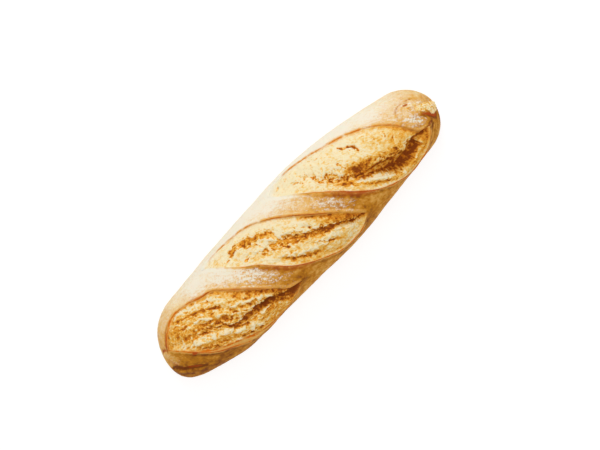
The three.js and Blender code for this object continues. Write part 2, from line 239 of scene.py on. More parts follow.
        "tear": ((0.012, 58, 0, 0), (0.14, 42, 0.6, 0), (0.236, 34, 1, 0.5), (0.268, 21, 1.4, 0.8),
                 (0.322, 6, 2.2, 1), (0.391, -5, 3.2, 0.8), (0.43, -9, 4.5, 0.8), (0.487, -16, 6, 1.4),
                 (0.524, -19, 6.8, 1.8), (0.56, -24, 8.6, 3), (0.599, -31, 10.2, 4.8),
                 (0.641, -39, 10.8, 6.6), (0.684, -44, 10.4, 6.8), (0.727, -40, 9.4, 5.4),
                 (0.765, -33, 7.5, 3.6), (0.795, -31, 4.5, 1.4), (0.84, -30, 3, 0.8), (0.887, -32, 1, 0)),
        "swell": 2.2,
        "ragged": 0.5,
        "golden": 0.16,
        "tear_reach": 1.0,
        "floured": 0.8,
        "cells": (2.3, 0.5, 1.0),
        "paler_up": 0.2,
        "ear": (0.0, 0.4),
        "ear_drop": 0.6,
        "ear_shade": ((0, -0.4), (0.12, -0.2), (0.22, 0.4), (0.6, 0.5), (0.8, 0.55), (0.95, 0.3), (1, 0.2)),
        "lip": (0.2, 1.1),
        "lip_shade": ((0, -0.4), (0.1, -0.1), (0.25, 0.6), (0.6, 1.2), (0.8, 1.2), (1, 0.4)),
        "line_width": 1.25,
        "under_ear": 0.1,
        "rind": ((0.012, 0), (0.887, 0)),
        "folds": (
            (2.2, ((0.44, 37, 0.3), (0.476, 28, 0.8), (0.505, 24, 1), (0.527, 17, 0.4))),
            (0.9, ((0.455, 35, 0.4), (0.479, 29, 0.8), (0.503, 26, 1.2), (0.524, 21, 1.3),
                   (0.524, 16, 0.5))),
            (2.8, ((0.295, 21, 0.8), (0.319, 16, 1.4), (0.343, 11, 1))),
            (3.4, ((0.39, 4, 1.2), (0.425, 3, 2.2), (0.455, -2, 1.6), (0.5, -8, 0.8))),
            (1.2, ((0.343, -3, 0.2), (0.375, -11, 0.25), (0.42, -21, 0.3), (0.481, -35, 0.3),
                   (0.545, -48, 0.3), (0.6, -59, 0.2))),
            (1.3, ((0.396, -8, -0.5), (0.433, -17, -0.7), (0.497, -29, -0.7), (0.56, -44, -0.7),
                   (0.6, -54, -0.5))),
        ),
        "pits": (
            (1.2, ((0.455, 35, 1), (0.465, 33, 1))),
            (1.8, ((0.485, 28, 0.9), (0.505, 25, 1.1), (0.522, 20, 1))),
            (1.1, ((0.076, 55, 1.1), (0.086, 55, 1.1))),
            (0.9, ((0.14, 53, 0.9), (0.15, 53, 0.9))),
            (1.0, ((0.289, 49, 1), (0.3, 48, 1))),
            (1.1, ((0.32, 45, 1), (0.34, 43, 1))),
            (1.2, ((0.156, 44, 0.9), (0.193, 37, 0.9))),
            (1.2, ((0.22, 39, 0.9), (0.24, 38, 0.9))),
            (1.5, ((0.257, 27, 1), (0.273, 18, 1.1), (0.3, 12, 1.2), (0.32, 8, 1))),
            (1.8, ((0.3, 18, 1.2), (0.318, 16, 1.3), (0.34, 11, 1.2))),
            (1.6, ((0.33, 5, 1), (0.364, 4, 1))),
            (1.4, ((0.395, 19, 0.8), (0.405, 14, 0.8))),
            (4.5, ((0.2, 42, 0.4), (0.3, 26, 0.42), (0.4, 12, 0.36))),
            (3.5, ((0.44, 0, 0.5), (0.5, -5, 0.55), (0.56, -10, 0.5), (0.62, -16, 0.55), (0.69, -20, 0.5))),
            (6.0, ((0.6, 18, 0.3), (0.68, 2, 0.45), (0.72, -10, 0.4))),
        ),
        "stains": (
            (1.9, ((0.343, -3, 0.36), (0.375, -11, 0.42), (0.42, -21, 0.44), (0.481, -35, 0.44),
                   (0.545, -48, 0.42), (0.6, -59, 0.3))),
            # The next three pale the lower ledge: painted highlight where it faces the key light.
            (4.5, ((0.34, -8, 0.05), (0.42, -24, 0), (0.5, -40, -0.04), (0.58, -57, -0.1),
                   (0.62, -64, -0.06))),
            (1.3, ((0.36, -11, -0.12), (0.4, -21, -0.18), (0.46, -36, -0.18), (0.52, -48, -0.14))),
            (1.6, ((0.38, -4, -0.16), (0.42, -13, -0.2), (0.5, -28, -0.22), (0.57, -42, -0.2),
                   (0.61, -53, -0.16))),
            (3.4, ((0.39, 3, 0.3), (0.425, 2, 0.42), (0.46, -3, 0.42), (0.51, -9, 0.3))),
            # Painted shadow: a thin dark line along the tear's upper edge under the overhang.
            (1.1, ((0.423, -8, 0.3), (0.46, -10, 0.45), (0.503, -12, 0.55), (0.545, -13, 0.55),
                   (0.58, -17, 0.5), (0.61, -22, 0.35))),
            (14.0, ((0.03, 60, -0.1), (0.15, 62, -0.06), (0.35, 58, -0.05))),
            (1.1, ((0.764, -33, 0.4), (0.801, -32, 0.5), (0.84, -30, 0.5), (0.88, -31, 0.4))),
            (2.4, ((0.47, 2, 0.2), (0.55, -4, 0.3), (0.6, -12, 0.3), (0.67, -18, 0.35), (0.73, -16, 0.2))),
            (2.4, ((0.64, 31, 0.04), (0.7, 19, 0.14), (0.75, 4, 0.22), (0.792, -12, 0.34),
                   (0.82, -24, 0.3))),
            (1.4, ((0.66, -56, 0.3), (0.72, -56, 0.36), (0.79, -47, 0.3))),
            (1.2, ((0.64, -64, 0.2), (0.72, -64, 0.3), (0.8, -55, 0.3))),
            (5.0, ((0.7, -60, 0.1), (0.76, -50, 0.34), (0.82, -42, 0.42), (0.86, -36, 0.38))),
            # Golden near the overhang's lower edge: partly painted shade where the crumb curls down.
            (2.4, ((0.6, -20, 0.2), (0.66, -26, 0.4), (0.72, -26, 0.5), (0.77, -24, 0.5), (0.8, -27, 0.4))),
            (3.8, ((0.43, -1, 0.2), (0.47, -4, 0.34), (0.524, -9, 0.4), (0.59, -15, 0.36),
                   (0.66, -20, 0.3))),
            (2.4, ((0.56, -44, 0.1), (0.6, -52, 0.24), (0.65, -60, 0.34), (0.7, -66, 0.3))),
            (6.0, ((0.58, 22, 0.12), (0.66, 5, 0.2), (0.72, -8, 0.22))),
        ),
    },
}
EAR_SPREAD = 2.4  # how far the raised edge on a slash's upper side reaches into the crust
LIP_SPREAD = 2.8  # and the one on its lower side
LIP_WAVER = 0.35  # how much the height of a raised edge changes along it
LIP_CURL = 0.6  # how far the edges lean over the crumb
CURL_REACH = 1.5
LIP_WALL = 2.6  # reach of the wall from a lip down to the crumb
LIP_STEP = 0.35  # the crumb starts this far under the lip
LIP_DROP = 1.2  # under the crumb the crust drops away within this distance of a lip
EAR_REACH = 3.0  # the crumb lies lower this near the upper lip
TEAR_WALL = 2.25  # reach of the tear's steep upper wall
TEAR_SLOPE = 2.75  # reach of its gentle lower side
TEAR_FADE = 5.0  # a tear fades out this near the lower lip
# Above a tear the crumb is also painted darker near it: partly baked, partly painted shade where it curls
# down into the tear.
TEAR_ROUGH = 6.0  # the crumb is more ragged and baked this near a tear
LEAN = 0.2  # how far a tear's upper side leans out over it, of the tear's depth
LEAN_DEPTH = 9  # past this depth it leans no further
SWELL_REACH = 9.0
# The darker crumb near the upper lip's far end is partly painted shadow of the raised lip.
HEEL_REACH = 6.0  # reach of the smooth, darker crumb near the upper lip's far end
TUCK = 1.6  # the crumb runs on this far under both lips
TUCK_SLOPE = 3  # and drops this much for each millimetre there
RIND_EDGE = 0.8  # width of the edge of the crust that curls in over the crumb
RIND_SLOPE = 0.12

# Noises: the size of their lumps in millimetres, and an offset that sets one apart from another.
# Where lumps are stretched, the size has three parts: along a slash, across it and in depth.
WANDER_OFFSETS = (11.0, 17.0)  # the two that push places about, along the loaf and round it
CRUST_WANDER = 4.0
CRUMB_WANDERS = (5.0, 1.5)
LIP_NOISE = (7.0, 0.0)
DOUGH_NOISE = (16.0, 5.0)
SKIN_NOISE = (2.2, 9.0)
SHRED_NOISE = (2.0, 4.0)
SCRAP_NOISE = (1.2, 0.0)
FLAKE_NOISE = ((9.0, 4.0, 4.0), 2.0)
LUMP_NOISE = (9.0, 7.0)
FINE_NOISE = (1.2, 3.0)
CHUNK_NOISE = (3.0, 12.0)
THREAD_OFFSET = 6.0
HOLE_OFFSET = 5.0
BUBBLE_OFFSET = 8.0

# How high each noise stands, in millimetres.
DOUGH_HEIGHT = 0.28
SKIN_HEIGHT = 0.08
FLAKE_HEIGHT = 0.26
THREAD_HEIGHT = 0.34
LUMP_HEIGHT = 0.5
CHUNK_HEIGHT = 0.45
FINE_HEIGHT = 0.15
PIT_DEPTH = 0.9
FLAKE_STEPS = 4  # flakes for each unit of their noise

# The crust's folds, and where it is baked darker or paler, and where flour lies on it or is rubbed off.
CRUST_FOLDS = (
    (1.6, ((-0.985, 0, 0.8), (-0.954, -25, 1.6), (-0.911, -36, 1.5), (-0.879, -43, 1), (-0.847, -51, 0.4))),
    (2.6, ((-0.981, -18, -0.3), (-0.954, -36, -0.6), (-0.92, -47, -0.6), (-0.88, -54, -0.3))),
    (3.4, ((0.9, 4, -0.4), (0.925, 1, -0.9), (0.95, -6, -1.1), (0.972, -18, -1.1), (0.985, -34, -1))),
    (1.5, ((0.895, -9, 0.4), (0.915, -18, 0.8), (0.937, -30, 1.1), (0.96, -48, 0.8))),
    (1.3, ((0.79, 17, 0.2), (0.812, 26, 0.4), (0.852, 31, 0.4))),
    (1.3, ((0.8, 12, -0.2), (0.82, 20, -0.4), (0.85, 25, -0.3))),
    (1.1, ((0.862, 24, 0.4), (0.875, 23, 0.4))),
    (1.1, ((0.89, 30, 0.3), (0.91, 30, 0.3))),
    (1.1, ((0.866, 15, 0.4), (0.876, 14, 0.4))),
    (1.3, ((-0.988, 74, 0.7), (-0.97, 58, 1), (-0.955, 42, 0.9), (-0.943, 28, 0.4))),
)
BAKED = (
    (6.0, ((0.92, 80, 0.08), (0.965, 58, 0.14), (0.985, 25, 0.12), (0.985, -12, 0.04))),
    (8.0, ((-0.985, 20, 0.1), (-0.975, 50, 0.16), (-0.93, 66, 0.14), (-0.84, 72, 0.1))),
    (14.0, ((-0.99, -10, 0.2), (-0.93, -45, 0.42), (-0.8, -62, 0.26), (-0.6, -80, 0.1))),
    (9.0, ((-0.97, 60, 0.1), (-0.93, 40, 0.14), (-0.9, 34, 0.1))),
    (1.6, ((-0.94, 24, 0.25), (-0.9, 35, 0.35), (-0.857, 41, 0.3), (-0.82, 43, 0.2))),
    (1.3, ((-0.985, 0, 0.3), (-0.954, -25, 0.6), (-0.911, -36, 0.6), (-0.879, -43, 0.6),
           (-0.847, -51, 0.3))),
    # Painted highlight: the roll below the left crease is made paler.
    (1.4, ((-0.976, -24, 0), (-0.95, -36, -0.1), (-0.915, -46, -0.1), (-0.884, -51, 0))),
    (10.0, ((0.9, 55, 0.0), (0.985, 30, 0.02), (0.97, -30, 0.14))),
    (2.2, ((0.898, -9, 0.2), (0.915, -18, 0.3), (0.937, -30, 0.36), (0.955, -44, 0.4))),
    (1.4, ((0.79, 17, 0.1), (0.812, 26, 0.2), (0.852, 31, 0.16))),
    (1.8, ((0.915, 33, 0.16), (0.935, 27, 0.16))),
    (2.2, ((0.862, 24, 0.22), (0.875, 23, 0.22))),
    (2.0, ((0.89, 30, 0.2), (0.91, 30, 0.2))),
    (2.0, ((0.866, 15, 0.3), (0.876, 14, 0.3))),
    (1.8, ((0.845, -2, 0.2), (0.86, -4, 0.2))),
    (1.1, ((0.85, -28, 0.7), (0.89, -31, 0.7), (0.905, -32, 0.5))),
    (1.3, ((0.84, -46, 0.3), (0.865, -41, 0.42), (0.905, -38, 0.3))),
    (1.1, ((0.85, -56, -0.3), (0.88, -48, -0.3), (0.91, -44, -0.2))),
    (1.2, ((-0.841, -20, 0.7), (-0.83, -22, 0.7))),
    (6.0, ((-0.36, 10, 0.04), (-0.303, -8, 0.12), (-0.249, -21, 0.14), (-0.21, -34, 0.1))),
    (6.0, ((0.13, 14, 0.06), (0.204, -3, 0.14), (0.257, -16, 0.14), (0.32, -34, 0.04))),
    # The next two run beside the middle and right slashes' lower lips: partly baked colour, partly painted
    # shade where the crust curves down from the lip.
    (2.0, ((-0.32, 16, 0.1), (-0.265, 0, 0.16), (-0.21, -14, 0.2), (-0.17, -26, 0.14))),
    (2.0, ((0.17, 20, 0.1), (0.24, 2, 0.16), (0.31, -13, 0.2), (0.37, -30, 0.16))),
    (1.0, ((-0.44, 63, 0.3), (-0.382, 63, 0.34), (-0.298, 60, 0.34), (-0.196, 53, 0.3), (-0.12, 43, 0.25))),
    (1.2, ((0.18, 71, 0.2), (0.284, 65, 0.26), (0.418, 55, 0.26), (0.524, 48, 0.24), (0.631, 36, 0.22),
           (0.705, 23, 0.22), (0.758, 8, 0.26), (0.8, -13, 0.26))),
)
FLOURED = (
    (6.0, ((-0.43, 25, 0.2), (-0.36, 6, 0.36), (-0.303, -8, 0.44), (-0.249, -21, 0.42), (-0.21, -32, 0.24))),
    (6.0, ((-0.03, 44, 0.14), (0.03, 34, 0.12), (0.13, 14, 0.16), (0.204, -3, 0.3), (0.257, -16, 0.27),
           (0.32, -34, 0.04))),
    (4.4, ((0.817, 4, 0.3), (0.844, -7, 0.4), (0.87, -18, 0.34))),
    (3.4, ((0.85, 8, 0.2), (0.9, 20, 0.25), (0.93, 14, 0.2))),
    (3.0, ((-0.96, 34, 0.2), (-0.956, 12, 0.3), (-0.953, -8, 0.25))),
    (14.0, ((-0.98, 10, -0.2), (-0.97, 50, -0.25), (-0.85, 72, -0.16))),
    (4.0, ((0.5, -72, -0.1), (0.6, -80, -0.3), (0.75, -80, -0.3), (0.85, -70, -0.2))),
    (12.0, ((0.93, 66, -0.16), (0.96, 40, -0.14), (0.97, 10, 0.02))),
    (9.0, ((-0.58, 50, 0.22), (-0.5, 40, 0.28), (-0.42, 22, 0.2), (-0.35, 2, 0.16))),
    (17.0, ((-0.62, 66, 0.16), (-0.25, 66, 0.34), (0.1, 70, 0.45), (0.45, 64, 0.45), (0.72, 50, 0.3))),
)
# Small red brown splits in the crust. The amount is how strongly they show.
SEAMS = (
    (1.1, ((0.9, -8, 0.5), (0.919, -15, 0.9), (0.94, -27, 1.1), (0.958, -44, 1.2))),
    (0.9, ((0.862, 24, 0.9), (0.876, 23, 0.9))),
    (0.8, ((0.89, 30, 0.5), (0.91, 30, 0.5))),
    (0.9, ((0.866, 15, 0.8), (0.878, 14, 0.8))),
    (0.8, ((0.79, 17, 0.1), (0.812, 26, 0.4), (0.852, 31, 0.3))),
    (1.0, ((0.85, -29, 0.5), (0.88, -31, 0.7), (0.9, -32, 0.4))),
    (0.9, ((-0.845, -19, 1), (-0.832, -21, 1))),
    (1.0, ((-0.94, 24, 0.6), (-0.915, 31, 0.9), (-0.885, 38, 0.7), (-0.85, 42, 0.5), (-0.8, 44, 0.3))),
    (0.9, ((-0.72, 42, 0.3), (-0.66, 38, 0.4), (-0.6, 31, 0.6), (-0.56, 27, 0.6), (-0.51, 18, 0.2),
           (-0.46, 8, 0.5), (-0.38, -10, 0.5), (-0.32, -23, 0.3))),
    (0.9, ((-0.86, -12, 0.5), (-0.8, -28, 0.6), (-0.73, -43, 0.7), (-0.66, -51, 0.5))),
    (0.9, ((-0.955, -24, 0.5), (-0.92, -34, 0.8), (-0.88, -43, 0.8), (-0.86, -48, 0.4))),
    (0.9, ((-0.985, 70, 0.7), (-0.97, 58, 0.9), (-0.955, 42, 0.8), (-0.943, 28, 0.5))),
    (1.2, ((-0.97, 30, 0.3), (-0.965, 6, 0.45), (-0.955, -14, 0.4))),
    (0.8, ((-0.1, 39, 0.1), (0.0, 22, 0.4), (0.07, 8, 0.7), (0.13, -3, 0.7), (0.18, -12, 0.3))),
    (0.8, ((-0.2, -14, 0.3), (-0.12, -32, 0.4), (-0.04, -45, 0.5), (0.05, -57, 0.5), (0.13, -66, 0.4))),
    (2.8, ((-0.29, 3, 0.24), (-0.22, -13, 0.46), (-0.15, -30, 0.5), (-0.07, -44, 0.34))),
    (2.8, ((0.21, 10, 0.24), (0.29, -6, 0.46), (0.36, -22, 0.5), (0.44, -40, 0.34))),
    (0.8, ((0.3, -5, 0.2), (0.364, -20, 0.4), (0.449, -39, 0.4), (0.55, -58, 0.5), (0.65, -74, 0.4))),
)
# Places where the crust has come off. The amount is how much of it.
TORN_SKIN = (
    (4.2, ((0.905, 3, 0.7), (0.93, 1, 1.1), (0.952, -6, 1.2), (0.972, -18, 1.2), (0.985, -34, 1.1))),
    (4.4, ((0.83, 14, 0.35), (0.87, 18, 0.55), (0.91, 18, 0.5))),
    (3.2, ((-0.96, 34, 0.36), (-0.954, 10, 0.42), (-0.95, -10, 0.38))),
)

STRAP_TURN = math.radians(-40)  # the way that the crust between two slashes runs
CRUMB_TURN = math.radians(-30)  # the way that the crumb's strands run
FLOUR_LINE = 0.9  # past this share of the way out, the top's flour and bands fade
LOW_EDGE = 20  # the flank's low part starts at this height in millimetres
LOW_FADE = 16  # and is full this much lower
# Steps within which a hollow is looked for, and the depth in millimetres that counts as a full one. The
# materials use these to paint hollows darker and tops paler: painted shade and painted highlight.
CRUST_CAVITY = (3, 0.35)
CRUMB_CAVITIES = {"hollow": (3, 0.3), "dent": (8, 0.7), "basin": (16, 1.5)}

# How much each form adds to how baked the skin is, or to the flour on it. Below zero it takes away. The
# lowest rim's share is painted light: a paler, floured edge standing for the floor's light thrown up onto it.
CRUST_BAKE_AND_SHADE = {"everywhere": 0.38, "flank": -0.3, "band": 0.28, "low": 0.14, "painted_light_rim": -0.08, "line": 0.35}
CRUST_DUST_AND_SHEEN = {
    "everywhere": 0.18,
    "flank": 0.32,
    "band": -0.42,
    "low": -0.4,
    "painted_light_rim": 0.3,
    "line": -0.7,
    "well_baked": -0.7,
}
# The hollow, dent, basin, pits, folds and threads shares are painted shade: the crumb is darker in its
# recesses and between its strands, and paler on its tops.
CRUMB_BAKE_AND_SHADE = {
    "hollow": 0.2,
    "dent": 0.22,
    "basin": 0.08,
    "pits": 0.22,
    "folds": 0.1,
    "near_tear": 0.1,
    "line": 0.3,
    "lumps": 0.14,
    "threads": 0.16,
}
# Tears are painted darker the deeper they are: partly toasting, partly painted shade.
TEAR_BAKE_AND_SHADE = {"everywhere": 0.2, "depth": 0.018, "chunks": 0.5}

CRUST_AROUND = 232
CRUST_ALONG = 420
CROWN_SHARE = 0.6  # below 1, columns crowd towards the crown
END_CROWDING = 0.15  # above 0, rings crowd towards the two ends
TIP_FLAT = 1.0  # no relief this near the tips
NORMAL_STEP = 0.5  # millimetres along and degrees round
CRUMB_ALONG = 380
CRUMB_ACROSS = 220
CRUMB_UNDER = 5  # steps across a crumb's hidden underside
UNDER_GAP = 1.2  # the underside lies this much deeper than the tears
UNDER_SPREAD = 8  # rows over which its depth is evened out
LINE_STEPS = 10
FAR = 40.0  # a distance past which nothing on the skin matters
MARK_SPREAD = 3  # a mark is taken to end at this many times its reach
AT_A_TIME = 12000  # places measured in one go, to spare memory
FLOOR_REACH = 3.0  # metres from the middle of the floor to its edges
KEY_PLACE = (0.4, 0.85, 0.95)
KEY_SIDE = 0.6
TOP_PLACE = (0, -0.15, 1.7)
TOP_SIDE = 1.6
VIEW_RIGHT = 2.3 * MM  # the view's middle lies this far right of the loaf's
VIEW_UP = 3.12 * MM  # and this far above it

# Lump sizes of the materials' patterns.
BLOTCH = 13 * MM
INK_GAP = 7 * MM
MOTTLE = 4.2 * MM
BLUSH = 3 * MM
CRUMB_MOTTLE = 2.8 * MM
STREAK = 1.5 * MM
CRUMB_GRAIN = 1.3 * MM
SPECK = 1.2 * MM
STRAND = 1.1 * MM
GRAIN = 0.5 * MM

# Where each colour lies between underbaked, 0, and burnt, 1.
CRUST_STOPS = ((0.0, "pale_crust"), (0.35, "golden_crust"), (0.65, "baked_crust"), (1.0, "dark_crust"))
CRUMB_STOPS = (
    (0.0, "cream_crumb"),
    (0.28, "straw_crumb"),
    (0.52, "golden_crumb"),
    (0.78, "toasted_crumb"),
    (1.0, "deep_crumb"),
)


# ---------------------------------------------------------------- sizes and colours that a user sets


def length_property(name, description, default):
    return bpy.props.FloatProperty(
        name=name, description=description, default=default, precision=4, subtype="DISTANCE", unit="LENGTH"
    )


def power_property(name, description, default):
    return bpy.props.FloatProperty(name=name, description=description, default=default, unit="POWER")


def colour_property(name, description, default):
    return bpy.props.FloatVectorProperty(
        name=name, description=description, default=default, size=3, min=0, max=1, subtype="COLOR"
    )


class LoafShape(bpy.types.PropertyGroup):
    """Sizes of the loaf."""

    length: length_property("Length", "Length of the loaf", LOAF_SIZE.x)
    width: length_property("Width", "Width of the loaf at its belly", LOAF_SIZE.y)
    height: length_property("Height", "Height of the loaf over the swollen crumb", LOAF_SIZE.z)
    lip_rise: length_property("Lip rise", "Height of the crust's edge on a slash's lower side", 1.0 * MM)
    ear_rise: length_property("Ear rise", "Height of the crust's edge on a slash's upper side", 1.0 * MM)
    crumb_sink: length_property("Crumb sink", "How far the opened crumb lies under the crust", 0.9 * MM)
    pocket: length_property("Pocket", "How far the crust drops away under the crumb", 14 * MM)


class LoafColours(bpy.types.PropertyGroup):
    """Colours of the crust and crumb."""

    pale_crust: colour_property("Pale crust", "Lightly baked crust of the top", (0.91, 0.70, 0.38))
    golden_crust: colour_property("Golden crust", "Crust baked to a light gold", (0.82, 0.44, 0.10))
    baked_crust: colour_property("Baked crust", "Crust baked brown on the flanks", (0.57, 0.22, 0.014))
    dark_crust: colour_property("Dark crust", "Crust in creases and at its darkest", (0.22, 0.06, 0.008))
    lip: colour_property("Lip", "Thin crust edges along the slashes", (0.69, 0.18, 0.011))
    seam: colour_property("Seam", "Red brown of small splits in the crust", (0.48, 0.08, 0.01))
    flour: colour_property("Flour", "Flour dusted on the crust", (0.94, 0.88, 0.73))
    # The crumb's cream, golden, toasted and deep colours fall on its tops, pits and tears partly as painted
    # highlight and painted shade.
    cream_crumb: colour_property("Cream crumb", "Tops of the torn crumb", (0.97, 0.83, 0.53))
    straw_crumb: colour_property("Straw crumb", "Most of the torn crumb", (0.94, 0.63, 0.21))
    golden_crumb: colour_property("Golden crumb", "Sides and pits of the torn crumb", (0.88, 0.42, 0.045))
    toasted_crumb: colour_property("Toasted crumb", "Deep tears in the crumb", (0.66, 0.21, 0.013))
    deep_crumb: colour_property("Deep crumb", "Bottoms of the deepest tears", (0.31, 0.075, 0.01))


class StudioLook(bpy.types.PropertyGroup):
    """Light, floor and camera."""

    key_power: power_property("Key light", "Power of the soft light from the floured side", 5.5)
    top_power: power_property("Top light", "Power of the wide light overhead", 11.5)
    fill: bpy.props.FloatProperty(
        name="Fill", description="Strength of the light from all round", default=0.4
    )
    floor: colour_property("Floor", "Colour of the pale floor", (0.3, 0.3, 0.3))
    floor_glow: bpy.props.FloatProperty(
        name="Floor glow", description="How much the floor glows, like a light table", default=0.8
    )
    camera_height: length_property("Camera height", "Height of the camera over the floor", 1.4)
    view_width: length_property("View width", "Width seen at the height of the loaf's widest line", 0.416)
    turn: bpy.props.FloatProperty(
        name="Turn", description="How far the loaf slants up to the right in the view",
        default=math.radians(45.71), subtype="ANGLE", unit="ROTATION",
    )


# ---------------------------------------------------------------- the smooth loaf


def hump(distance, reach):
    return np.exp(-((distance / reach) ** 2))


def ease(share):
    share = np.clip(share, 0, 1)
    return share * share * (3 - 2 * share)


def blend(a, b, share):
    return a + (b - a) * share


def unit(vectors):
    return vectors / np.maximum(np.linalg.norm(vectors, axis=1, keepdims=True), 1e-9)


def smooth_line(points, steps=LINE_STEPS):
    """Rounds the line through some points by adding steps between them."""
    points = np.asarray(points, float)
    start, stop = points[:-1], points[1:]
    before = np.vstack((points[:1], points[:-2]))
    after = np.vstack((points[2:], points[-1:]))
    leaving, arriving = (stop - before) / 2, (after - start) / 2
    t = np.arange(steps)[:, None, None] / steps
    cubic = 2 * start - 2 * stop + leaving + arriving
    square = -3 * start + 3 * stop - 2 * leaving - arriving
    spots = cubic * t**3 + square * t**2 + leaving * t + start
    return np.vstack((spots.transpose(1, 0, 2).reshape(-1, points.shape[1]), points[-1:]))


def curve_through(points, column=1):
    """A smooth curve through points, as a function of their first number."""
    line = smooth_line(np.asarray(points, float)[:, (0, column)])
    return lambda at: np.interp(at, line[:, 0], line[:, 1])


half_width_at = curve_through(STATIONS, 1)
shift_at = curve_through(STATIONS, 2)
height_at = curve_through(STATIONS, 3)


class Loaf:
    """The smooth loaf before its slashes. A place is (x, millimetres round from the crown)."""

    def __init__(self, shape):
        self.half = shape.length / MM / 2
        self.half_width = shape.width / MM / 2
        self.height = shape.height / MM / SWELL_ABOVE_CROWN
        outline = self.surface(crust_places(self))
        low, high = outline.min(0), outline.max(0)
        self.middle = np.array(((low[0] + high[0]) / 2, (low[1] + high[1]) / 2, 0))

    def surface(self, places):
        x, turn = places[:, 0], np.radians(places[:, 1] / MM_PER_DEGREE)
        along = x / self.half
        into_cap = np.clip(1 - (self.half - abs(x)) / np.where(x < 0, LEFT_CAP, RIGHT_CAP), 0, 1)
        cap = np.sqrt(1 - into_cap**2)
        height = self.height * height_at(along)
        top = blend(TIP_HEIGHT, height, cap)
        widest = blend(TIP_HEIGHT, WIDEST_SHARE * height, cap)
        under = blend(TIP_HEIGHT, -UNDERSIDE_DEPTH, cap)
        across, up = np.sin(turn), np.cos(turn)
        below = up < 0
        squarer = 2 / UNDERSIDE_POWER
        across = np.where(below, np.sign(across) * abs(across) ** squarer, across)
        up = np.where(below, -(abs(up) ** squarer), up)
        y = self.half_width * (shift_at(along) + half_width_at(along) * cap * across)
        z = widest + np.where(up > 0, top - widest, widest - under) * up
        return np.column_stack((x, y, np.maximum(z, 0)))

    def frame_at(self, places):
        """Outward normal and the direction round the loaf, at each place."""
        limit = self.half - TIP_FLAT
        onward, back = places.copy(), places.copy()
        onward[:, 0] = np.clip(places[:, 0] + NORMAL_STEP, -limit, limit)
        back[:, 0] = np.clip(places[:, 0] - NORMAL_STEP, -limit, limit)
        round_step = np.array((0, NORMAL_STEP * MM_PER_DEGREE))
        lengthwise = self.surface(onward) - self.surface(back)
        round_loaf = self.surface(places + round_step) - self.surface(places - round_step)
        return unit(np.cross(lengthwise, round_loaf)), unit(round_loaf)


class SkinLine:
    """A line on the unrolled skin that can tell how far places are from it, and its own values there."""

    def __init__(self, loaf, points):
        points = np.asarray(points, float)
        self.line = smooth_line(np.column_stack((points[:, :2] * (loaf.half, MM_PER_DEGREE), points[:, 2:])))

    def round_at(self, x):
        """Millimetres round the loaf where the line passes x."""
        return np.interp(x, self.line[:, 0], self.line[:, 1])

    def nearest(self, places, within=FAR / 2):
        """Distance, nearest spot and the line's values there, for each place within reach of the line."""
        start, span = self.line[:-1, :2], np.diff(self.line[:, :2], axis=0)
        distance = np.full(len(places), FAR)
        spots = places.copy()
        values = np.zeros((len(places), self.line.shape[1] - 2))
        lowest, highest = self.line[:, :2].min(0) - within, self.line[:, :2].max(0) + within
        near = np.flatnonzero(((places > lowest) & (places < highest)).all(1))
        for part in np.array_split(near, len(near) // AT_A_TIME + 1):
            away = places[part, None] - start
            passed = np.clip((away * span).sum(2) / (span**2).sum(1), 0, 1)
            gap = away - passed[..., None] * span
            length = np.hypot(gap[..., 0], gap[..., 1])
            best = length.argmin(1)
            row = np.arange(len(part))
            distance[part] = length[row, best]
            spots[part] = places[part] - gap[row, best]
            onward = passed[row, best][:, None]
            values[part] = blend(self.line[best, 2:], self.line[best + 1, 2:], onward)
        return distance, spots, values


def marks(loaf, lines, places):
    """The sum at each place of what some lines give it. Each fades over its reach."""
    total = np.zeros(len(places))
    for reach, points in lines:
        distance, _, amount = SkinLine(loaf, points).nearest(places, reach * MARK_SPREAD)
        total += amount[:, 0] * hump(distance, reach)
    return total


class Slash:
    """One opened slash: its two lips, its tear and its crumb."""

    def __init__(self, loaf, name):
        sizes = SLASHES[name]
        self.upper = SkinLine(loaf, sizes["upper"])
        self.lower = SkinLine(loaf, sizes["lower"])
        self.tear = SkinLine(loaf, sizes["tear"])
        self.start, self.stop = self.upper.line[0, :2], self.upper.line[-1, :2]
        self.ear, self.lip = sizes["ear"], sizes["lip"]
        self.ear_shade, self.lip_shade = curve_through(sizes["ear_shade"]), curve_through(sizes["lip_shade"])
        self.line_width = sizes["line_width"]

    def holds(self, places):
        x, w = places.T
        between = (x > self.start[0]) & (x < self.stop[0])
        return between & (w < self.upper.round_at(x)) & (w > self.lower.round_at(x))

    def down(self, places):
        """How far along the slash each place lies, from 0 to 1."""
        return np.clip((places[:, 0] - self.start[0]) / (self.stop[0] - self.start[0]), 0, 1)


def sampled(measure, places, size, offset=0.0):
    """A noise of Blender's at each place. Size is that of its lumps in millimetres, one for each axis."""
    scaled = np.column_stack((places, np.zeros(len(places))))[:, :3] / size + offset
    return np.array([measure(Vector(spot)) for spot in scaled])


def perlin(octaves=3):
    return lambda spot: noise.fractal(spot, 1.0, 2.0, octaves)


def ridges(spot):
    return 1 - 2 * abs(noise.noise(spot))


def cells(spot):
    """0 on the thin walls between bubbles and 1 inside them."""
    near, next_near = noise.voronoi(spot)[0][:2]
    return min(max((next_near - near) / 0.35, 0), 1)


def terraces(heights):
    """Turns smooth heights into flat flakes with steep edges, one for each unit of height."""
    floor = np.floor(heights)
    return floor + ease((heights - floor - 0.7) / 0.3)


# ---------------------------------------------------------------- meshes


def tube_faces(rings, ring):
    """Quads of a closed tube of rings, each with ring points."""
    first = np.arange(rings - 1)[:, None] * ring
    here = np.arange(ring)[None, :]
    beside = (here + 1) % ring
    corners = (first + here, first + beside, first + ring + beside, first + ring + here)
    return np.stack(corners, axis=2).reshape(-1, 4)


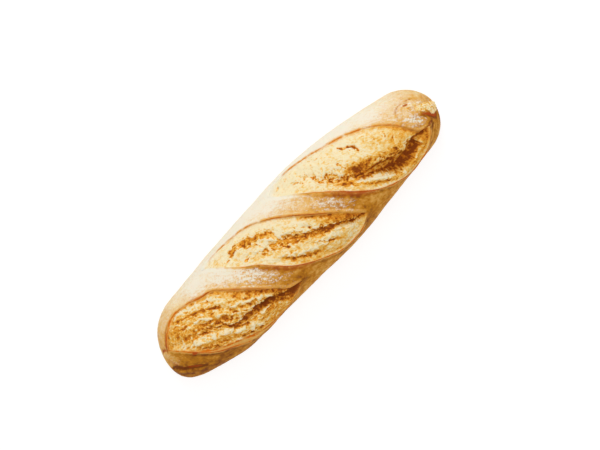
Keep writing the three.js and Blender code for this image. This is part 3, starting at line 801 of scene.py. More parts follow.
def closed_by_tips(points, rings, ring):
    """Faces of a tube of rings whose two ends close on an extra first and last point."""
    quads = tube_faces(rings, ring) + 1
    here = np.arange(ring)
    beside = (here + 1) % ring
    last = len(points) - 1
    end = 1 + (rings - 1) * ring
    tips = np.vstack((
        np.column_stack((np.zeros(ring, int), beside + 1, here + 1)),
        np.column_stack((np.full(ring, last), end + here, end + beside)),
    ))
    return quads, tips


def mesh_object(name, points, quads, triangles=()):
    """A smooth shaded object from points in millimetres."""
    mesh = bpy.data.meshes.new(name)
    faces = [*map(tuple, quads.tolist()), *map(tuple, np.asarray(triangles).reshape(-1, 3).tolist())]
    mesh.from_pydata((points * MM).tolist(), [], faces)
    mesh.polygons.foreach_set("use_smooth", np.ones(len(mesh.polygons), bool))
    mesh.validate()
    made = bpy.data.objects.new(name, mesh)
    bpy.context.scene.collection.objects.link(made)
    return made


def give(made, name, values):
    """Stores a value of each point on the mesh, where the material reads it."""
    layer = made.data.attributes.new(name, "FLOAT", "POINT")
    layer.data.foreach_set("value", np.asarray(values, np.float32))


def weighed(weights, parts):
    """The sum of some parts, each by its named weight."""
    return sum(weights[name] * part for name, part in parts.items())


def cavity(heights, reach):
    """How far each point of a grid lies under the mean of its neighbours within some steps."""
    mean = heights.copy()
    for axis in (0, 1):
        mean = np.mean([np.roll(mean, step, axis) for step in range(-reach, reach + 1)], axis=0)
    return mean - heights


# ---------------------------------------------------------------- crust


def crust_places(loaf):
    """Places of the crust's points: rings along the loaf, each running round it from seam to seam."""
    turn = 2 * np.arange(CRUST_AROUND) / CRUST_AROUND - 1
    angle = 180 * (CROWN_SHARE * turn + (1 - CROWN_SHARE) * turn * abs(turn) ** 3)
    lengthwise = 2 * np.arange(1, CRUST_ALONG) / CRUST_ALONG - 1
    x = loaf.half * lengthwise * (1 + END_CROWDING * (1 - lengthwise**6))
    grid = np.stack(np.meshgrid(x, angle * MM_PER_DEGREE, indexing="ij"), axis=2)
    return grid.reshape(-1, 2)


def near_a_lip(zone, lip_distance):
    """Of two neighbours on either side of a lip, the nearer one is to move onto it."""
    shape = (len(zone) // CRUST_AROUND, CRUST_AROUND)
    zone, far = zone.reshape(shape), lip_distance.reshape(shape)
    pulled = np.zeros(shape, bool)
    for down, aside in ((0, 1), (1, 0), (1, 1), (1, -1)):
        one = (slice(0, shape[0] - down), slice(max(0, -aside), CRUST_AROUND - max(0, aside)))
        other = (slice(down, shape[0]), slice(max(0, aside), CRUST_AROUND + min(0, aside)))
        crosses = zone[one] != zone[other]
        nearer = far[one] <= far[other]
        pulled[one] |= crosses & nearer
        pulled[other] |= crosses & ~nearer
    return pulled.reshape(-1)


class LipDistances:
    """Places of the crust, and how far each lies from the lips of the slashes."""

    def __init__(self, loaf, slashes):
        places = crust_places(loaf)
        zone = np.zeros(len(places), int)
        for number, slash in enumerate(slashes, 1):
            zone[slash.holds(places)] = number
        lips = [line.nearest(places) for slash in slashes for line in (slash.upper, slash.lower)]
        distances = np.stack([lip[0] for lip in lips])
        nearest = distances.argmin(0)
        spots = np.stack([lip[1] for lip in lips])[nearest, np.arange(len(places))]
        on_lip = near_a_lip(zone, distances.min(0))
        own_lip = np.arange(len(lips))[:, None] == nearest[on_lip]
        distances[:, on_lip] = np.where(own_lip, 0, distances[:, on_lip])
        self.places = np.where(on_lip[:, None], spots, places)
        self.inside = (zone > 0) & ~on_lip
        self.uppers, self.lowers = distances[::2], distances[1::2]
        self.upper, self.lower = self.uppers.min(0), self.lowers.min(0)
        self.any = distances.min(0)


def lip_line(slashes, lips):
    """How strongly the brown line of the nearest lip shows, and how wide it is."""
    ink, width = np.zeros(len(lips.places)), np.ones(len(lips.places))
    for slash, upper, lower in zip(slashes, lips.uppers, lips.lowers):
        down = slash.down(lips.places)
        for distance, shade in ((upper, slash.ear_shade), (lower, slash.lip_shade)):
            nearest = distance == lips.any
            ink = np.where(nearest, shade(down), ink)
            width = np.where(nearest, slash.line_width, width)
    return ink, width


def lip_ridges(shape, slashes, lips):
    """How far the crust stands up along the lips."""
    rise = np.zeros(len(lips.places))
    for slash, upper, lower in zip(slashes, lips.uppers, lips.lowers):
        ear, lip = edge_heights(shape, slash, slash.down(lips.places))
        rise = np.maximum(rise, ear * hump(upper, EAR_SPREAD))
        rise = np.maximum(rise, lip * hump(lower, LIP_SPREAD))
    return rise


def edge_heights(shape, slash, down):
    """Heights of the crust's edge on the upper and lower side of a slash, which change along it."""
    return shape.ear_rise / MM * blend(*slash.ear, down), shape.lip_rise / MM * blend(*slash.lip, down)


def flank_at(places):
    """How far out to the side each place lies: 1 on the floured flank, 0 on the crown, -1 on the other."""
    return np.sin(np.radians(places[:, 1] / MM_PER_DEGREE))


def pushes(measure, places, size):
    """Two noises that push each place along the loaf and round it."""
    return np.column_stack([sampled(measure, places, size, offset) for offset in WANDER_OFFSETS])


class Crust:
    """The crust's places on the smooth loaf, the lips, and the noise that its marks wander by."""

    def __init__(self, shape):
        self.loaf = Loaf(shape)
        self.slashes = [Slash(self.loaf, name) for name in SLASHES]
        self.lips = LipDistances(self.loaf, self.slashes)
        self.places = self.lips.places
        self.surface = self.loaf.surface(self.places)
        self.free = (self.surface[:, 2] > 0) & (abs(self.places[:, 0]) < self.loaf.half - TIP_FLAT)
        self.wander = 0.9 * pushes(perlin(3), self.surface, CRUST_WANDER)
        self.torn = np.clip(self.marked(TORN_SKIN, wandering=1), 0, 1)

    def marked(self, lines, wandering):
        """What some lines give each place, when it is pushed by a share of the noise."""
        return marks(self.loaf, lines, self.places + wandering * self.wander)

    def relief(self, shape):
        """How far the crust stands over the smooth loaf. Inside a slash it drops away under the crumb."""
        waver = 1 + LIP_WAVER * sampled(perlin(2), self.surface, *LIP_NOISE)
        rise = lip_ridges(shape, self.slashes, self.lips) * waver
        under = blend(rise, -shape.pocket / MM, ease(self.lips.any / LIP_DROP))
        lumps = DOUGH_HEIGHT * sampled(perlin(3), self.surface, *DOUGH_NOISE)
        skin = SKIN_HEIGHT * sampled(perlin(3), self.surface, *SKIN_NOISE)
        shreds = 0.5 * sampled(ridges, self.surface, *SHRED_NOISE)
        scraps = 0.5 * sampled(perlin(3), self.surface, *SCRAP_NOISE)
        rough = self.torn * (shreds + scraps - 0.1)
        relief = np.where(self.lips.inside, under, rise + lumps + skin + rough)
        return np.where(self.free, relief - self.marked(CRUST_FOLDS, wandering=1), 0)

    def points(self, relief):
        """The crust's points, with its edges curled in over the crumb and a tip at each end."""
        outward, round_loaf = self.loaf.frame_at(self.places)
        inwards = np.where(self.lips.upper < self.lips.lower, -1, 1)
        curl = inwards * hump(self.lips.any, CURL_REACH) * LIP_CURL * self.free * ~self.lips.inside
        points = self.surface + outward * relief[:, None] + round_loaf * curl[:, None]
        points[:, 2] = np.maximum(points[:, 2], 0)
        tips = self.loaf.surface(np.array(((-self.loaf.half, 0), (self.loaf.half, 0))))
        return np.vstack((tips[:1], points, tips[1:])) - self.loaf.middle

    def layers(self, relief):
        """What the material reads at each place: how baked, floured, split and torn the crust is, and its
        hollows and lowest edge, where shade and light are painted.
        """
        flank = flank_at(self.places)
        # The band beside each lower lip is browner and bare of flour: partly baked colour, partly painted
        # shade where the crust curves down from the raised lip.
        band_width = 1.5 + 3.5 * ease(0.75 - flank)
        on_top = ease(FLOUR_LINE - flank)
        band = ease(1 - self.lips.lower / band_width) * on_top
        ink, width = lip_line(self.slashes, self.lips)
        ink *= 1 + 0.9 * self.wander[:, 1]
        from_lip = self.lips.any / width
        steps, depth = CRUST_CAVITY
        hollow = cavity(relief.reshape(CRUST_ALONG - 1, CRUST_AROUND), steps).reshape(-1)
        low = ease((LOW_EDGE - self.surface[:, 2]) / LOW_FADE)
        # Painted light: the lowest edge of the far flank is made paler and floured, for the pale floor's
        # light thrown up onto it.
        painted_light_rim = ease((-0.88 - flank) / 0.12) * (1 - low)
        forms = {"everywhere": 1, "flank": flank, "band": band, "low": low, "painted_light_rim": painted_light_rim}
        brown = {"line": ink * hump(from_lip, 1.2)}
        bare = {"line": ink * hump(from_lip, 1.4)}
        baked = self.marked(BAKED, wandering=0.6)
        bare["well_baked"] = ease((baked - 0.25) / 0.25)
        flecks = self.marked(FLOURED, wandering=0)
        return {
            "lip_distance": from_lip,
            "lip_ink": ink,
            "flecks": flecks * on_top,
            "torn": self.torn,
            "seam": np.clip(self.marked(SEAMS, wandering=0.35), 0, 1),
            "hollow": np.clip(hollow / depth, -1, 1),
            "bake_and_shade": baked + weighed(CRUST_BAKE_AND_SHADE, forms | brown),
            "dust": flecks + weighed(CRUST_DUST_AND_SHEEN, forms | bare),
        }


def make_crust(shape):
    crust = Crust(shape)
    relief = crust.relief(shape)
    points = crust.points(relief)
    quads, ends = closed_by_tips(points, CRUST_ALONG - 1, CRUST_AROUND)
    made = mesh_object("crust", points, quads[:, ::-1], ends[:, ::-1])
    for name, values in crust.layers(relief).items():
        give(made, name, np.concatenate((values[:1], values, values[-1:])))
    return made


# ---------------------------------------------------------------- crumb


def crumb_places(slash):
    """Places from the lower to the upper lip of a slash, in rows along it, tucked under both lips."""
    def evenly(line):
        length = np.concatenate(((0,), np.cumsum(np.hypot(*np.diff(line[:, :2], axis=0).T))))
        share = np.linspace(0, length[-1], CRUMB_ALONG + 1)[1:-1]
        return np.column_stack([np.interp(share, length, line[:, k]) for k in (0, 1)])

    lower, upper = evenly(slash.lower.line), evenly(slash.upper.line)
    across = upper - lower
    out = across / np.maximum(np.hypot(*across.T)[:, None], 1e-6) * TUCK
    share = np.linspace(0, 1, CRUMB_ACROSS)[None, :, None]
    return blend((lower - out)[:, None], (upper + out)[:, None], share).reshape(-1, 2)


class Crumb:
    """The crumb of one slash: its places, how far each lies from the lips and the tear, and its noises."""

    def __init__(self, shape, name):
        self.loaf = Loaf(shape)
        self.slash = Slash(self.loaf, name)
        self.sizes = SLASHES[name]
        self.places = crumb_places(self.slash)
        self.surface = self.loaf.surface(self.places)
        self.outward, self.round_loaf = self.loaf.frame_at(self.places)
        self.down = self.slash.down(self.places)
        self.measure_lips()
        self.measure_tear()
        self.grow_strands()
        self.dig_pits()
        self.curl_rind()

    def marked(self, kind, wandering):
        """What the slash's lines of one kind give each place, when it is pushed by a share of the noise."""
        return marks(self.loaf, self.sizes[kind], self.places + wandering * self.wander)

    def measure_lips(self):
        """Distances from the lips. Outside the slash they count below zero."""
        self.inside = self.slash.holds(self.places)
        upper = self.slash.upper.nearest(self.places)[0]
        lower = self.slash.lower.nearest(self.places)[0]
        self.upper = np.where(~self.inside & (upper < lower), -upper, upper)
        self.lower = np.where(~self.inside & (upper >= lower), -lower, lower)
        self.from_upper = ease(self.upper / LIP_WALL * blend(2, 1, self.down))
        self.from_lower = ease(self.lower / LIP_WALL)

    def measure_tear(self):
        """How deep the tear is at each place. Its edges wander, so a noise pushes the places about."""
        tear_line = self.slash.tear
        self.wide, small = (pushes(perlin(2), self.places, size) for size in CRUMB_WANDERS)
        self.wander = 1.5 * self.wide + 0.55 * small
        over_tear = self.places[:, 1] - tear_line.round_at(self.places[:, 0])
        push = blend(0.3, 1.2, ease(0.5 + over_tear / 6))
        moved = self.places + (self.wide + 0.5 * small) * push[:, None]
        distance, _, tear_sizes = tear_line.nearest(moved)
        self.tear_depth, half_width = tear_sizes.T
        self.beside = np.maximum(0, distance - half_width)
        self.above = moved[:, 1] > tear_line.round_at(moved[:, 0])
        self.near_tear = hump(self.beside, TEAR_ROUGH) * ease(self.tear_depth / 3)
        reach = self.sizes["tear_reach"] * np.where(self.above, TEAR_WALL, TEAR_SLOPE)
        self.torn = self.tear_depth * hump(self.beside, reach) * ease(self.lower / TEAR_FADE)
        self.in_tear = ease((self.torn - 1) / 1.8)

    def grow_strands(self):
        """Noises along the slash between its two lips. They are measured down the tear's walls too."""
        heading = unit((self.slash.stop - self.slash.start)[None])[0]
        strands = np.column_stack((self.places @ heading, (self.upper - self.lower) / 2, self.torn))
        strands[:, :2] += 0.6 * self.wander
        in_depth = np.column_stack((self.places, self.torn))
        self.flakes = terraces(FLAKE_STEPS * sampled(perlin(3), strands, *FLAKE_NOISE))
        self.lumps = sampled(perlin(3), self.places, *LUMP_NOISE)
        self.fine = sampled(perlin(3), in_depth, *FINE_NOISE)
        self.chunks = sampled(perlin(2), in_depth, *CHUNK_NOISE)
        cell, on_walls, in_cells = self.sizes["cells"]
        thread = (1.6 * cell, 0.65 * cell, 0.65 * cell)
        hole = (cell, 0.7 * cell, 0.7 * cell)
        self.threads = sampled(ridges, strands, thread, THREAD_OFFSET)
        self.holes = sampled(perlin(2), strands, hole, HOLE_OFFSET)
        self.bubbles = blend(on_walls, in_cells, sampled(cells, strands, hole, BUBBLE_OFFSET))

    def dig_pits(self):
        """Folds and pits, and how ragged the crumb is. Near the upper lip's far end it is smooth."""
        self.folds = self.marked("folds", wandering=0.6) * (1 + 1.3 * self.wide[:, 1])
        pitted = self.marked("pits", wandering=0.6)
        self.heel = ease(1.7 * self.down - 0.5) * hump(self.upper, HEEL_REACH)
        smooth = 1 - 0.75 * self.heel
        rough = 0.75 + 0.6 * self.near_tear + 0.5 * np.clip(pitted, 0, 1)
        self.ragged = self.sizes["ragged"] * smooth * rough
        self.pits = ease((0.5 * self.holes + 0.8 * pitted * smooth - 0.45) / 0.3) * self.bubbles

    def curl_rind(self):
        """On the lower side a rind of crust may curl in over the crumb."""
        width = curve_through(self.sizes["rind"])(self.places[:, 0] / self.loaf.half)
        self.rind = ease((width - self.lower) / 0.6) * ease(width)
        self.rind_edge = hump(self.lower - width, RIND_EDGE) * ease(width)

    def relief(self, shape):
        """How far the crumb stands over the smooth loaf, in millimetres."""
        coarse = FLAKE_HEIGHT * self.flakes + THREAD_HEIGHT * self.threads
        coarse = coarse + LUMP_HEIGHT * self.lumps + CHUNK_HEIGHT * self.chunks
        texture = self.ragged * coarse + FINE_HEIGHT * self.fine - PIT_DEPTH * self.pits
        texture = texture * blend(0.6, 1, np.minimum(self.from_upper, self.from_lower))
        swell = self.sizes["swell"] * ease(self.upper / SWELL_REACH) * ease(self.beside / SWELL_REACH)
        drop = self.sizes["ear_drop"]
        sunk = shape.crumb_sink / MM * blend(0.35, 1, self.down)
        sunk = sunk + drop * self.down**2 * hump(self.upper, EAR_REACH)
        bed = swell * self.above - self.torn - sunk - self.folds + texture * (1 - 0.6 * self.in_tear)
        ear, lip = edge_heights(shape, self.slash, self.down)
        relief = blend(ear - LIP_STEP - 0.6 * drop * self.down**1.5, bed, self.from_upper)
        relief = blend(lip - LIP_STEP, relief, self.from_lower)
        relief = blend(relief, lip - LIP_STEP - RIND_SLOPE * self.lower, self.rind)
        return relief - TUCK_SLOPE * (np.maximum(0, -self.upper) + np.maximum(0, -self.lower))

    def points(self, relief):
        """The crumb's points. The upper side of a tear leans out over it."""
        edge = hump(self.beside - 1.5, 2.6) * ease(self.beside / 1.5)
        lean = np.minimum(self.tear_depth, LEAN_DEPTH) * LEAN * edge * self.above * self.inside
        return self.surface + self.outward * relief[:, None] - self.round_loaf * lean[:, None]

    def bake_and_shade(self, relief):
        """How baked the crumb is, and where stains lie, with painted shade: it is darker in its hollows,
        pits, folds and tears and paler on its tops.
        """
        heights = relief.reshape(CRUMB_ALONG - 1, CRUMB_ACROSS)
        forms = {
            name: np.clip(cavity(heights, steps) / depth, -1, 1).reshape(-1)
            for name, (steps, depth) in CRUMB_CAVITIES.items()
        }
        forms |= {
            "pits": self.pits,
            "folds": np.clip(self.folds, 0, 2),
            # Partly painted shade where the crumb curls down into the tear.
            "near_tear": self.near_tear * self.above,
            # The crumb just under the upper lip is darker: partly the crust edge's brown, partly painted
            # shadow of the lip.
            "line": self.slash.ear_shade(self.down) * hump(self.upper, 1.0),
            "lumps": self.lumps,
            "threads": self.ragged * (0.5 - self.threads),
        }
        tear = {"everywhere": 1, "depth": self.tear_depth, "chunks": self.chunks}
        bake_and_shade = self.sizes["golden"] - self.sizes["paler_up"] * flank_at(self.places)
        # Under the far end of the upper lip the crumb is painted darker: partly painted shadow of the lip.
        bake_and_shade += self.sizes["under_ear"] * self.heel
        bake_and_shade += weighed(CRUMB_BAKE_AND_SHADE, forms) + self.in_tear * weighed(TEAR_BAKE_AND_SHADE, tear)
        bake_and_shade += self.marked("stains", wandering=0.5)
        return np.minimum(bake_and_shade, 1.0 + 0.4 * self.chunks)

    def lip_line(self):
        """How far the crust's edge is, and how strongly its brown line shows. The rind has one too."""
        near_upper = abs(self.upper) < abs(self.lower)
        ink = np.where(near_upper, self.slash.ear_shade(self.down), 0.7 * self.slash.lip_shade(self.down))
        distance = np.where(near_upper, abs(self.upper), abs(self.lower) + 0.3) / self.slash.line_width
        from_rind = RIND_EDGE * np.sqrt(-np.log(self.rind_edge + 1e-6))
        return np.minimum(distance, from_rind), np.where(self.rind_edge > 0.1, 1, ink)

    def layers(self, relief):
        """What the material reads at each place."""
        distance, ink = self.lip_line()
        return {
            "bake_and_shade": self.bake_and_shade(relief),
            "rind": self.rind,
            "dust": self.sizes["floured"] * (1 - self.down) ** 2 * hump(self.upper, 7.0),
            "lip_distance": distance,
            "lip_ink": ink,
        }


def make_crumb(shape, name):
    crumb = Crumb(shape, name)
    relief = crumb.relief(shape)
    points, surface = crumb.points(relief) - crumb.loaf.middle, crumb.surface - crumb.loaf.middle
    made = crumb_mesh(f"crumb_{name}", points, surface, crumb.outward, relief)
    for layer, values in crumb.layers(relief).items():
        give(made, layer, spread(values))
    return made


def crumb_mesh(name, points, surface, outward, relief):
    """The crumb's grid of points, closed by two tips and a hidden underside deeper than its tears."""
    rows = (CRUMB_ALONG - 1, CRUMB_ACROSS)
    columns = np.linspace(CRUMB_ACROSS - 1, 0, CRUMB_UNDER + 2)[1:-1].round().astype(int)
    deepest = -relief.reshape(rows).min(1)
    for gather in (np.max, np.mean):
        deepest = gather([np.roll(deepest, step) for step in range(-UNDER_SPREAD, UNDER_SPREAD + 1)], axis=0)
    below = outward.reshape(*rows, 3)[:, columns] * (deepest + UNDER_GAP)[:, None, None]
    under = surface.reshape(*rows, 3)[:, columns] - below
    ring = CRUMB_ACROSS + CRUMB_UNDER
    tube = np.concatenate((points.reshape(*rows, 3), under), axis=1).reshape(-1, 3)
    whole = np.vstack((tube[:ring].mean(0), tube, tube[-ring:].mean(0)))
    return mesh_object(name, whole, *closed_by_tips(whole, rows[0], ring))


def spread(values):
    """Gives the underside and tips of a crumb the values of its lower border."""
    values = values.reshape(CRUMB_ALONG - 1, CRUMB_ACROSS)
    filled = np.concatenate((values, np.repeat(values[:, :1], CRUMB_UNDER, axis=1)), axis=1).reshape(-1)
    return np.concatenate((filled[:1], filled, filled[-1:]))


# ---------------------------------------------------------------- materials


def opaque(colour):
    return (*colour, 1.0)


def set_stops(ramp, stops):
    """Puts a colour at each position of a colour ramp."""
    (ramp.elements[0].position, first), (ramp.elements[1].position, last) = stops[0], stops[-1]
    ramp.elements[0].color, ramp.elements[1].color = opaque(first), opaque(last)
    for position, colour in stops[1:-1]:
        ramp.elements.new(position).color = opaque(colour)


class Shade:
    """A socket of a material's nodes. An expression on shades adds the nodes that work it out."""

    def __init__(self, tree, socket=None):
        self.tree = tree
        self.socket = socket

    def node(self, kind, settings=None, sockets=None, output=0):
        made = self.tree.nodes.new(kind)
        for name, value in (settings or {}).items():
            if name == "stops":
                set_stops(made.color_ramp, value)
            else:
                setattr(made, name, value)
        for name, value in (sockets or {}).items():
            if isinstance(value, Shade):
                self.tree.links.new(value.socket, made.inputs[name])
            else:
                made.inputs[name].default_value = value
        return Shade(self.tree, made.outputs[output])

    def maths(self, operation, *values, clamp=False):
        settings = {"operation": operation, "use_clamp": clamp}
        return self.node("ShaderNodeMath", settings, dict(enumerate(values)))

    def __add__(self, other):
        return self.maths("ADD", self, other)

    __radd__ = __add__

    def __sub__(self, other):
        return self.maths("SUBTRACT", self, other)

    def __rsub__(self, other):
        return self.maths("SUBTRACT", other, self)

    def __mul__(self, other):
        return self.maths("MULTIPLY", self, other)

    __rmul__ = __mul__

    def swing(self, amount):
        """A pattern about 0.5 made to swing about 0."""
        return (self - 0.5) * amount

    def clamped(self):
        return self.maths("ADD", self, 0.0, clamp=True)

    def between(self, low, high):
        """0 under low, 1 over high, and smooth in between."""
        settings = {"interpolation_type": "SMOOTHSTEP"}
        sockets = {"Value": self, "From Min": low, "From Max": high, "To Min": 0.0, "To Max": 1.0}
        return self.node("ShaderNodeMapRange", settings, sockets)

    def mixed(self, other, share):
        """This colour mixed with another colour or shade."""
        settings = {"data_type": "RGBA", "clamp_factor": True}
        return self.node("ShaderNodeMix", settings, {0: share, 6: self, 7: other}, output=2)


class Finish:
    """A material under way: its shader, and the patterns that feed it."""

    def __init__(self, name):
        self.material = bpy.data.materials.new(name)
        self.material.use_nodes = True
        self.tree = self.material.node_tree
        self.shader = self.tree.nodes["Principled BSDF"]
        self.start = Shade(self.tree)
        self.position = self.start.node("ShaderNodeTexCoord", output="Object")

    def layer(self, name):
        return self.start.node("ShaderNodeAttribute", {"attribute_name": name}, output="Fac")

    def pattern(self, size, detail=3.0, roughness=0.55):
        """A noise about 0.5 with lumps of a size in metres."""
        sockets = {"Vector": self.position, "Scale": 1 / size, "Detail": detail, "Roughness": roughness}
        return self.start.node("ShaderNodeTexNoise", None, sockets)

    def streaks(self, size, stretch, turn):
        """A noise whose lumps are stretched in a direction, turned from the loaf's length."""
        sockets = {"Vector": self.position, "Rotation": (0, 0, turn), "Scale": (stretch, 1, 1)}
        stretched = self.start.node("ShaderNodeMapping", {"vector_type": "TEXTURE"}, sockets)
        sockets = {"Vector": stretched, "Scale": 1 / size, "Detail": 3.0, "Roughness": 0.6}
        return self.start.node("ShaderNodeTexNoise", None, sockets)

    def ramp(self, value, colours, stops):
        """The colour of a value, from named colours at their stops."""
        settings = {"stops": [(position, getattr(colours, name)) for position, name in stops]}
        return self.start.node("ShaderNodeValToRGB", settings, {"Fac": value})

    def set(self, **values):
        """Sets or links the shader's sockets, whose names have _ for a space."""
        for name, value in values.items():
            socket = self.shader.inputs[name.replace("_", " ")]
            if isinstance(value, Shade):
                self.tree.links.new(value.socket, socket)
            else:
                socket.default_value = value

    def bump(self, height, distance, strength=1.0):
        sockets = {"Height": height, "Distance": distance, "Strength": strength}
        return self.start.node("ShaderNodeBump", None, sockets)


def crumb_colour(finish, colours, bake_and_shade):
    """Torn crumb: cream on its flakes, golden in its pits and toasted in its tears, much of that darkening
    being painted shade.
    """
    mottle = finish.pattern(CRUMB_MOTTLE, 3.0, 0.6)
    strands = finish.streaks(STRAND, 2.4, CRUMB_TURN)
    return finish.ramp(bake_and_shade + mottle.swing(0.75) + strands.swing(0.8), colours, CRUMB_STOPS)


def inked(finish, colours, colour, waver):
    """A colour with the thin brown line of the crust's edge drawn over it."""
    distance = finish.layer("lip_distance") + waver.swing(1.8)
    ink = finish.layer("lip_ink") * (finish.pattern(INK_GAP, 2.0).between(0.4, 0.6) + 0.4)
    colour = colour.mixed(opaque(colours.golden_crust), distance.between(1.8, 0.3) * (ink * 1.6).clamped())
    return colour.mixed(opaque(colours.lip), distance.between(0.75, 0.15) * ink)


def crust_finish(colours):
    """Floured crust, with its brown edges, its splits, and crumb where it has come off."""
    finish = Finish("floured_crust")
    hollow = finish.layer("hollow")
    blotches = finish.pattern(BLOTCH, 3.0, 0.6)
    mottle = finish.pattern(MOTTLE, 4.0, 0.62)
    speckle = finish.pattern(SPECK, 3.0, 0.6)
    streaks = finish.streaks(STREAK, 3.0, STRAP_TURN)

    # Hollows are painted browner and tops paler: painted shade and painted highlight.
    bake_and_shade = finish.layer("bake_and_shade") + blotches.swing(0.7) + mottle.swing(0.8) + hollow * 0.16
    colour = finish.ramp(bake_and_shade + streaks.swing(0.5), colours, CRUST_STOPS)
    flecks = (speckle.swing(1.5) + streaks.swing(1.9)) * (finish.layer("flecks") * 1.5 + 0.5)
    # Less flour shows in hollows and more on tops: more painted shade and highlight.
    dust = finish.layer("dust") + blotches.swing(0.8) + flecks - hollow * 0.2
    # This flour also paints the floor's light on the crust's lowest edge.
    flour = dust.between(0.2, 0.9) * 0.9
    colour = colour.mixed(opaque(colours.flour), flour)
    colour = inked(finish, colours, colour, mottle)
    seam = (finish.layer("seam") + mottle.swing(0.6)).between(0.1, 0.9)
    colour = colour.mixed(opaque(colours.seam), seam)
    torn = (finish.layer("torn") + mottle.swing(0.9)).between(0.4, 0.6)
    # The crumb of the torn patches is painted darker in its hollows: painted shade.
    colour = colour.mixed(crumb_colour(finish, colours, hollow * 0.4 + 0.24), torn)

    grain = mottle * 0.5 + speckle * 0.35 + finish.pattern(GRAIN, 2.0) * 0.15
    finish.set(
        Base_Color=colour,
        Roughness=(0.7 + flour * 0.25).clamped(),
        Normal=finish.bump(grain, 0.0006, 0.5),
        Subsurface_Weight=0.06,
        Subsurface_Scale=0.0016,
        Specular_IOR_Level=0.06,
    )
    return finish.material


def crumb_finish(colours):
    """Torn crumb, with the rind that curls in over it, a little flour and the crust's brown edge."""
    finish = Finish("torn_crumb")
    colour = crumb_colour(finish, colours, finish.layer("bake_and_shade"))
    blush = finish.pattern(BLUSH, 3.0, 0.6)
    rind = finish.ramp(0.1 + blush * 0.5, colours, CRUST_STOPS)
    colour = colour.mixed(rind, finish.layer("rind"))
    flour = (finish.layer("dust") + blush.swing(0.8)).between(0.15, 0.8) * 0.8
    colour = colour.mixed(opaque(colours.flour), flour)
    colour = inked(finish, colours, colour, blush)
    grain = finish.pattern(CRUMB_GRAIN, 3.0, 0.65) * 0.6 + finish.pattern(GRAIN, 2.0) * 0.4
    finish.set(
        Base_Color=colour,
        Roughness=0.85,
        Normal=finish.bump(grain, 0.0007, 0.7),
        Subsurface_Weight=0.04,
        Subsurface_Scale=0.0016,
        Specular_IOR_Level=0.05,
    )
    return finish.material


# ---------------------------------------------------------------- operators


def dressed(piece, material):
    """A piece of the loaf: it stands for the solid loaf and moves with it."""
    piece.data.materials.append(material)
    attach(piece, "root")
    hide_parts("baguette")


class BAGUETTE_OT_crust(bpy.types.Operator):
    """Make the loaf's crust, with its raised slash lips and folded ends"""

    bl_idname = "baguette.crust"
    bl_label = "Make Crust"

    def execute(self, context):
        scene = context.scene
        dressed(make_crust(scene.baguette_shape), crust_finish(scene.baguette_colours))
        return {"FINISHED"}


class BAGUETTE_OT_crumb(bpy.types.Operator):
    """Make the torn crumb that fills the slashes"""

    bl_idname = "baguette.crumb"
    bl_label = "Make Crumb"

    def execute(self, context):
        scene = context.scene
        material = crumb_finish(scene.baguette_colours)
        for name in SLASHES:
            dressed(make_crumb(scene.baguette_shape, name), material)
        return {"FINISHED"}


class BAGUETTE_OT_stage(bpy.types.Operator):
    """Make the pale floor, the soft lights and the camera over the loaf"""

    bl_idname = "baguette.stage"
    bl_label = "Make Studio"

    def execute(self, context):
        studio = context.scene.baguette_studio
        make_floor(studio)
        make_lights(studio)
        make_camera(studio)
        return {"FINISHED"}


def make_floor(studio):
    mesh = bpy.data.meshes.new("floor")
    corners = [(x * FLOOR_REACH, y * FLOOR_REACH, 0) for x, y in ((-1, -1), (1, -1), (1, 1), (-1, 1))]
    mesh.from_pydata(corners, [], [(0, 1, 2, 3)])
    floor = bpy.data.objects.new("floor", mesh)
    bpy.context.scene.collection.objects.link(floor)
    finish = Finish("pale_floor")
    finish.set(
        Base_Color=opaque(studio.floor),
        Roughness=0.9,
        Specular_IOR_Level=0.1,
        Emission_Color=opaque((1, 1, 1)),
        Emission_Strength=studio.floor_glow,
    )
    floor.data.materials.append(finish.material)


def area_light(name, place, side, power):
    """A square light that faces the loaf."""
    data = bpy.data.lights.new(name, "AREA")
    data.shape = "RECTANGLE"
    data.size = data.size_y = side
    data.energy = power
    light = bpy.data.objects.new(name, data)
    light.location = place
    light.rotation_euler = (-Vector(place)).to_track_quat("-Z", "Y").to_euler()
    bpy.context.scene.collection.objects.link(light)


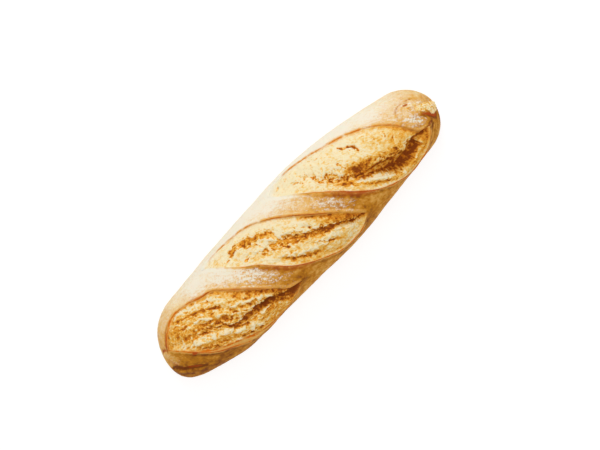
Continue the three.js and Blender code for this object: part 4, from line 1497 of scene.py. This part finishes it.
def make_lights(studio):
    area_light("key_light", KEY_PLACE, KEY_SIDE, studio.key_power)
    area_light("top_light", TOP_PLACE, TOP_SIDE, studio.top_power)
    world = bpy.data.worlds.new("studio")
    world.use_nodes = True
    background = world.node_tree.nodes["Background"]
    background.inputs["Color"].default_value = opaque((1, 1, 1))
    background.inputs["Strength"].default_value = studio.fill
    bpy.context.scene.world = world
    bpy.context.scene.view_settings.view_transform = "Standard"


def make_camera(studio):
    """Looks straight down, turned so that the loaf slants up to the right."""
    data = bpy.data.cameras.new("camera")
    widest = LOAF_BOX[0].z + WIDEST_SHARE * LOAF_SIZE.z
    data.lens = data.sensor_width * (studio.camera_height - widest) / studio.view_width
    data.dof.use_dof = False
    camera = bpy.data.objects.new("camera", data)
    turn = Matrix.Rotation(-studio.turn, 4, "Z")
    right, up = turn @ Vector((1, 0, 0)), turn @ Vector((0, 1, 0))
    middle = right * VIEW_RIGHT + up * VIEW_UP
    camera.matrix_world = Matrix.Translation(middle + Vector((0, 0, studio.camera_height))) @ turn
    bpy.context.scene.collection.objects.link(camera)
    bpy.context.scene.camera = camera


class BAGUETTE_PT_bakery(bpy.types.Panel):
    """Lists the steps that make the loaf"""

    bl_idname = "BAGUETTE_PT_bakery"
    bl_label = "Short Baguette"
    bl_space_type = "VIEW_3D"
    bl_region_type = "UI"
    bl_category = "Baguette"

    def draw(self, context):
        layout = self.layout
        for group in (getattr(context.scene, name) for name in GROUPS):
            box = layout.box()
            for name in group.__annotations__:
                box.prop(group, name)
        for step in STEPS:
            layout.operator(step.bl_idname)


STEPS = (BAGUETTE_OT_crust, BAGUETTE_OT_crumb, BAGUETTE_OT_stage)
GROUPS = {"baguette_shape": LoafShape, "baguette_colours": LoafColours, "baguette_studio": StudioLook}


def register():
    for made in (*GROUPS.values(), *STEPS, BAGUETTE_PT_bakery):
        bpy.utils.register_class(made)
    for name, group in GROUPS.items():
        setattr(bpy.types.Scene, name, bpy.props.PointerProperty(type=group))


def unregister():
    for name in GROUPS:
        delattr(bpy.types.Scene, name)
    for made in (BAGUETTE_PT_bakery, *reversed(STEPS), *GROUPS.values()):
        bpy.utils.unregister_class(made)


def main():
    register()
    bpy.ops.baguette.crust()
    bpy.ops.baguette.crumb()
    bpy.ops.baguette.stage()


if __name__ == "__main__":
    main()
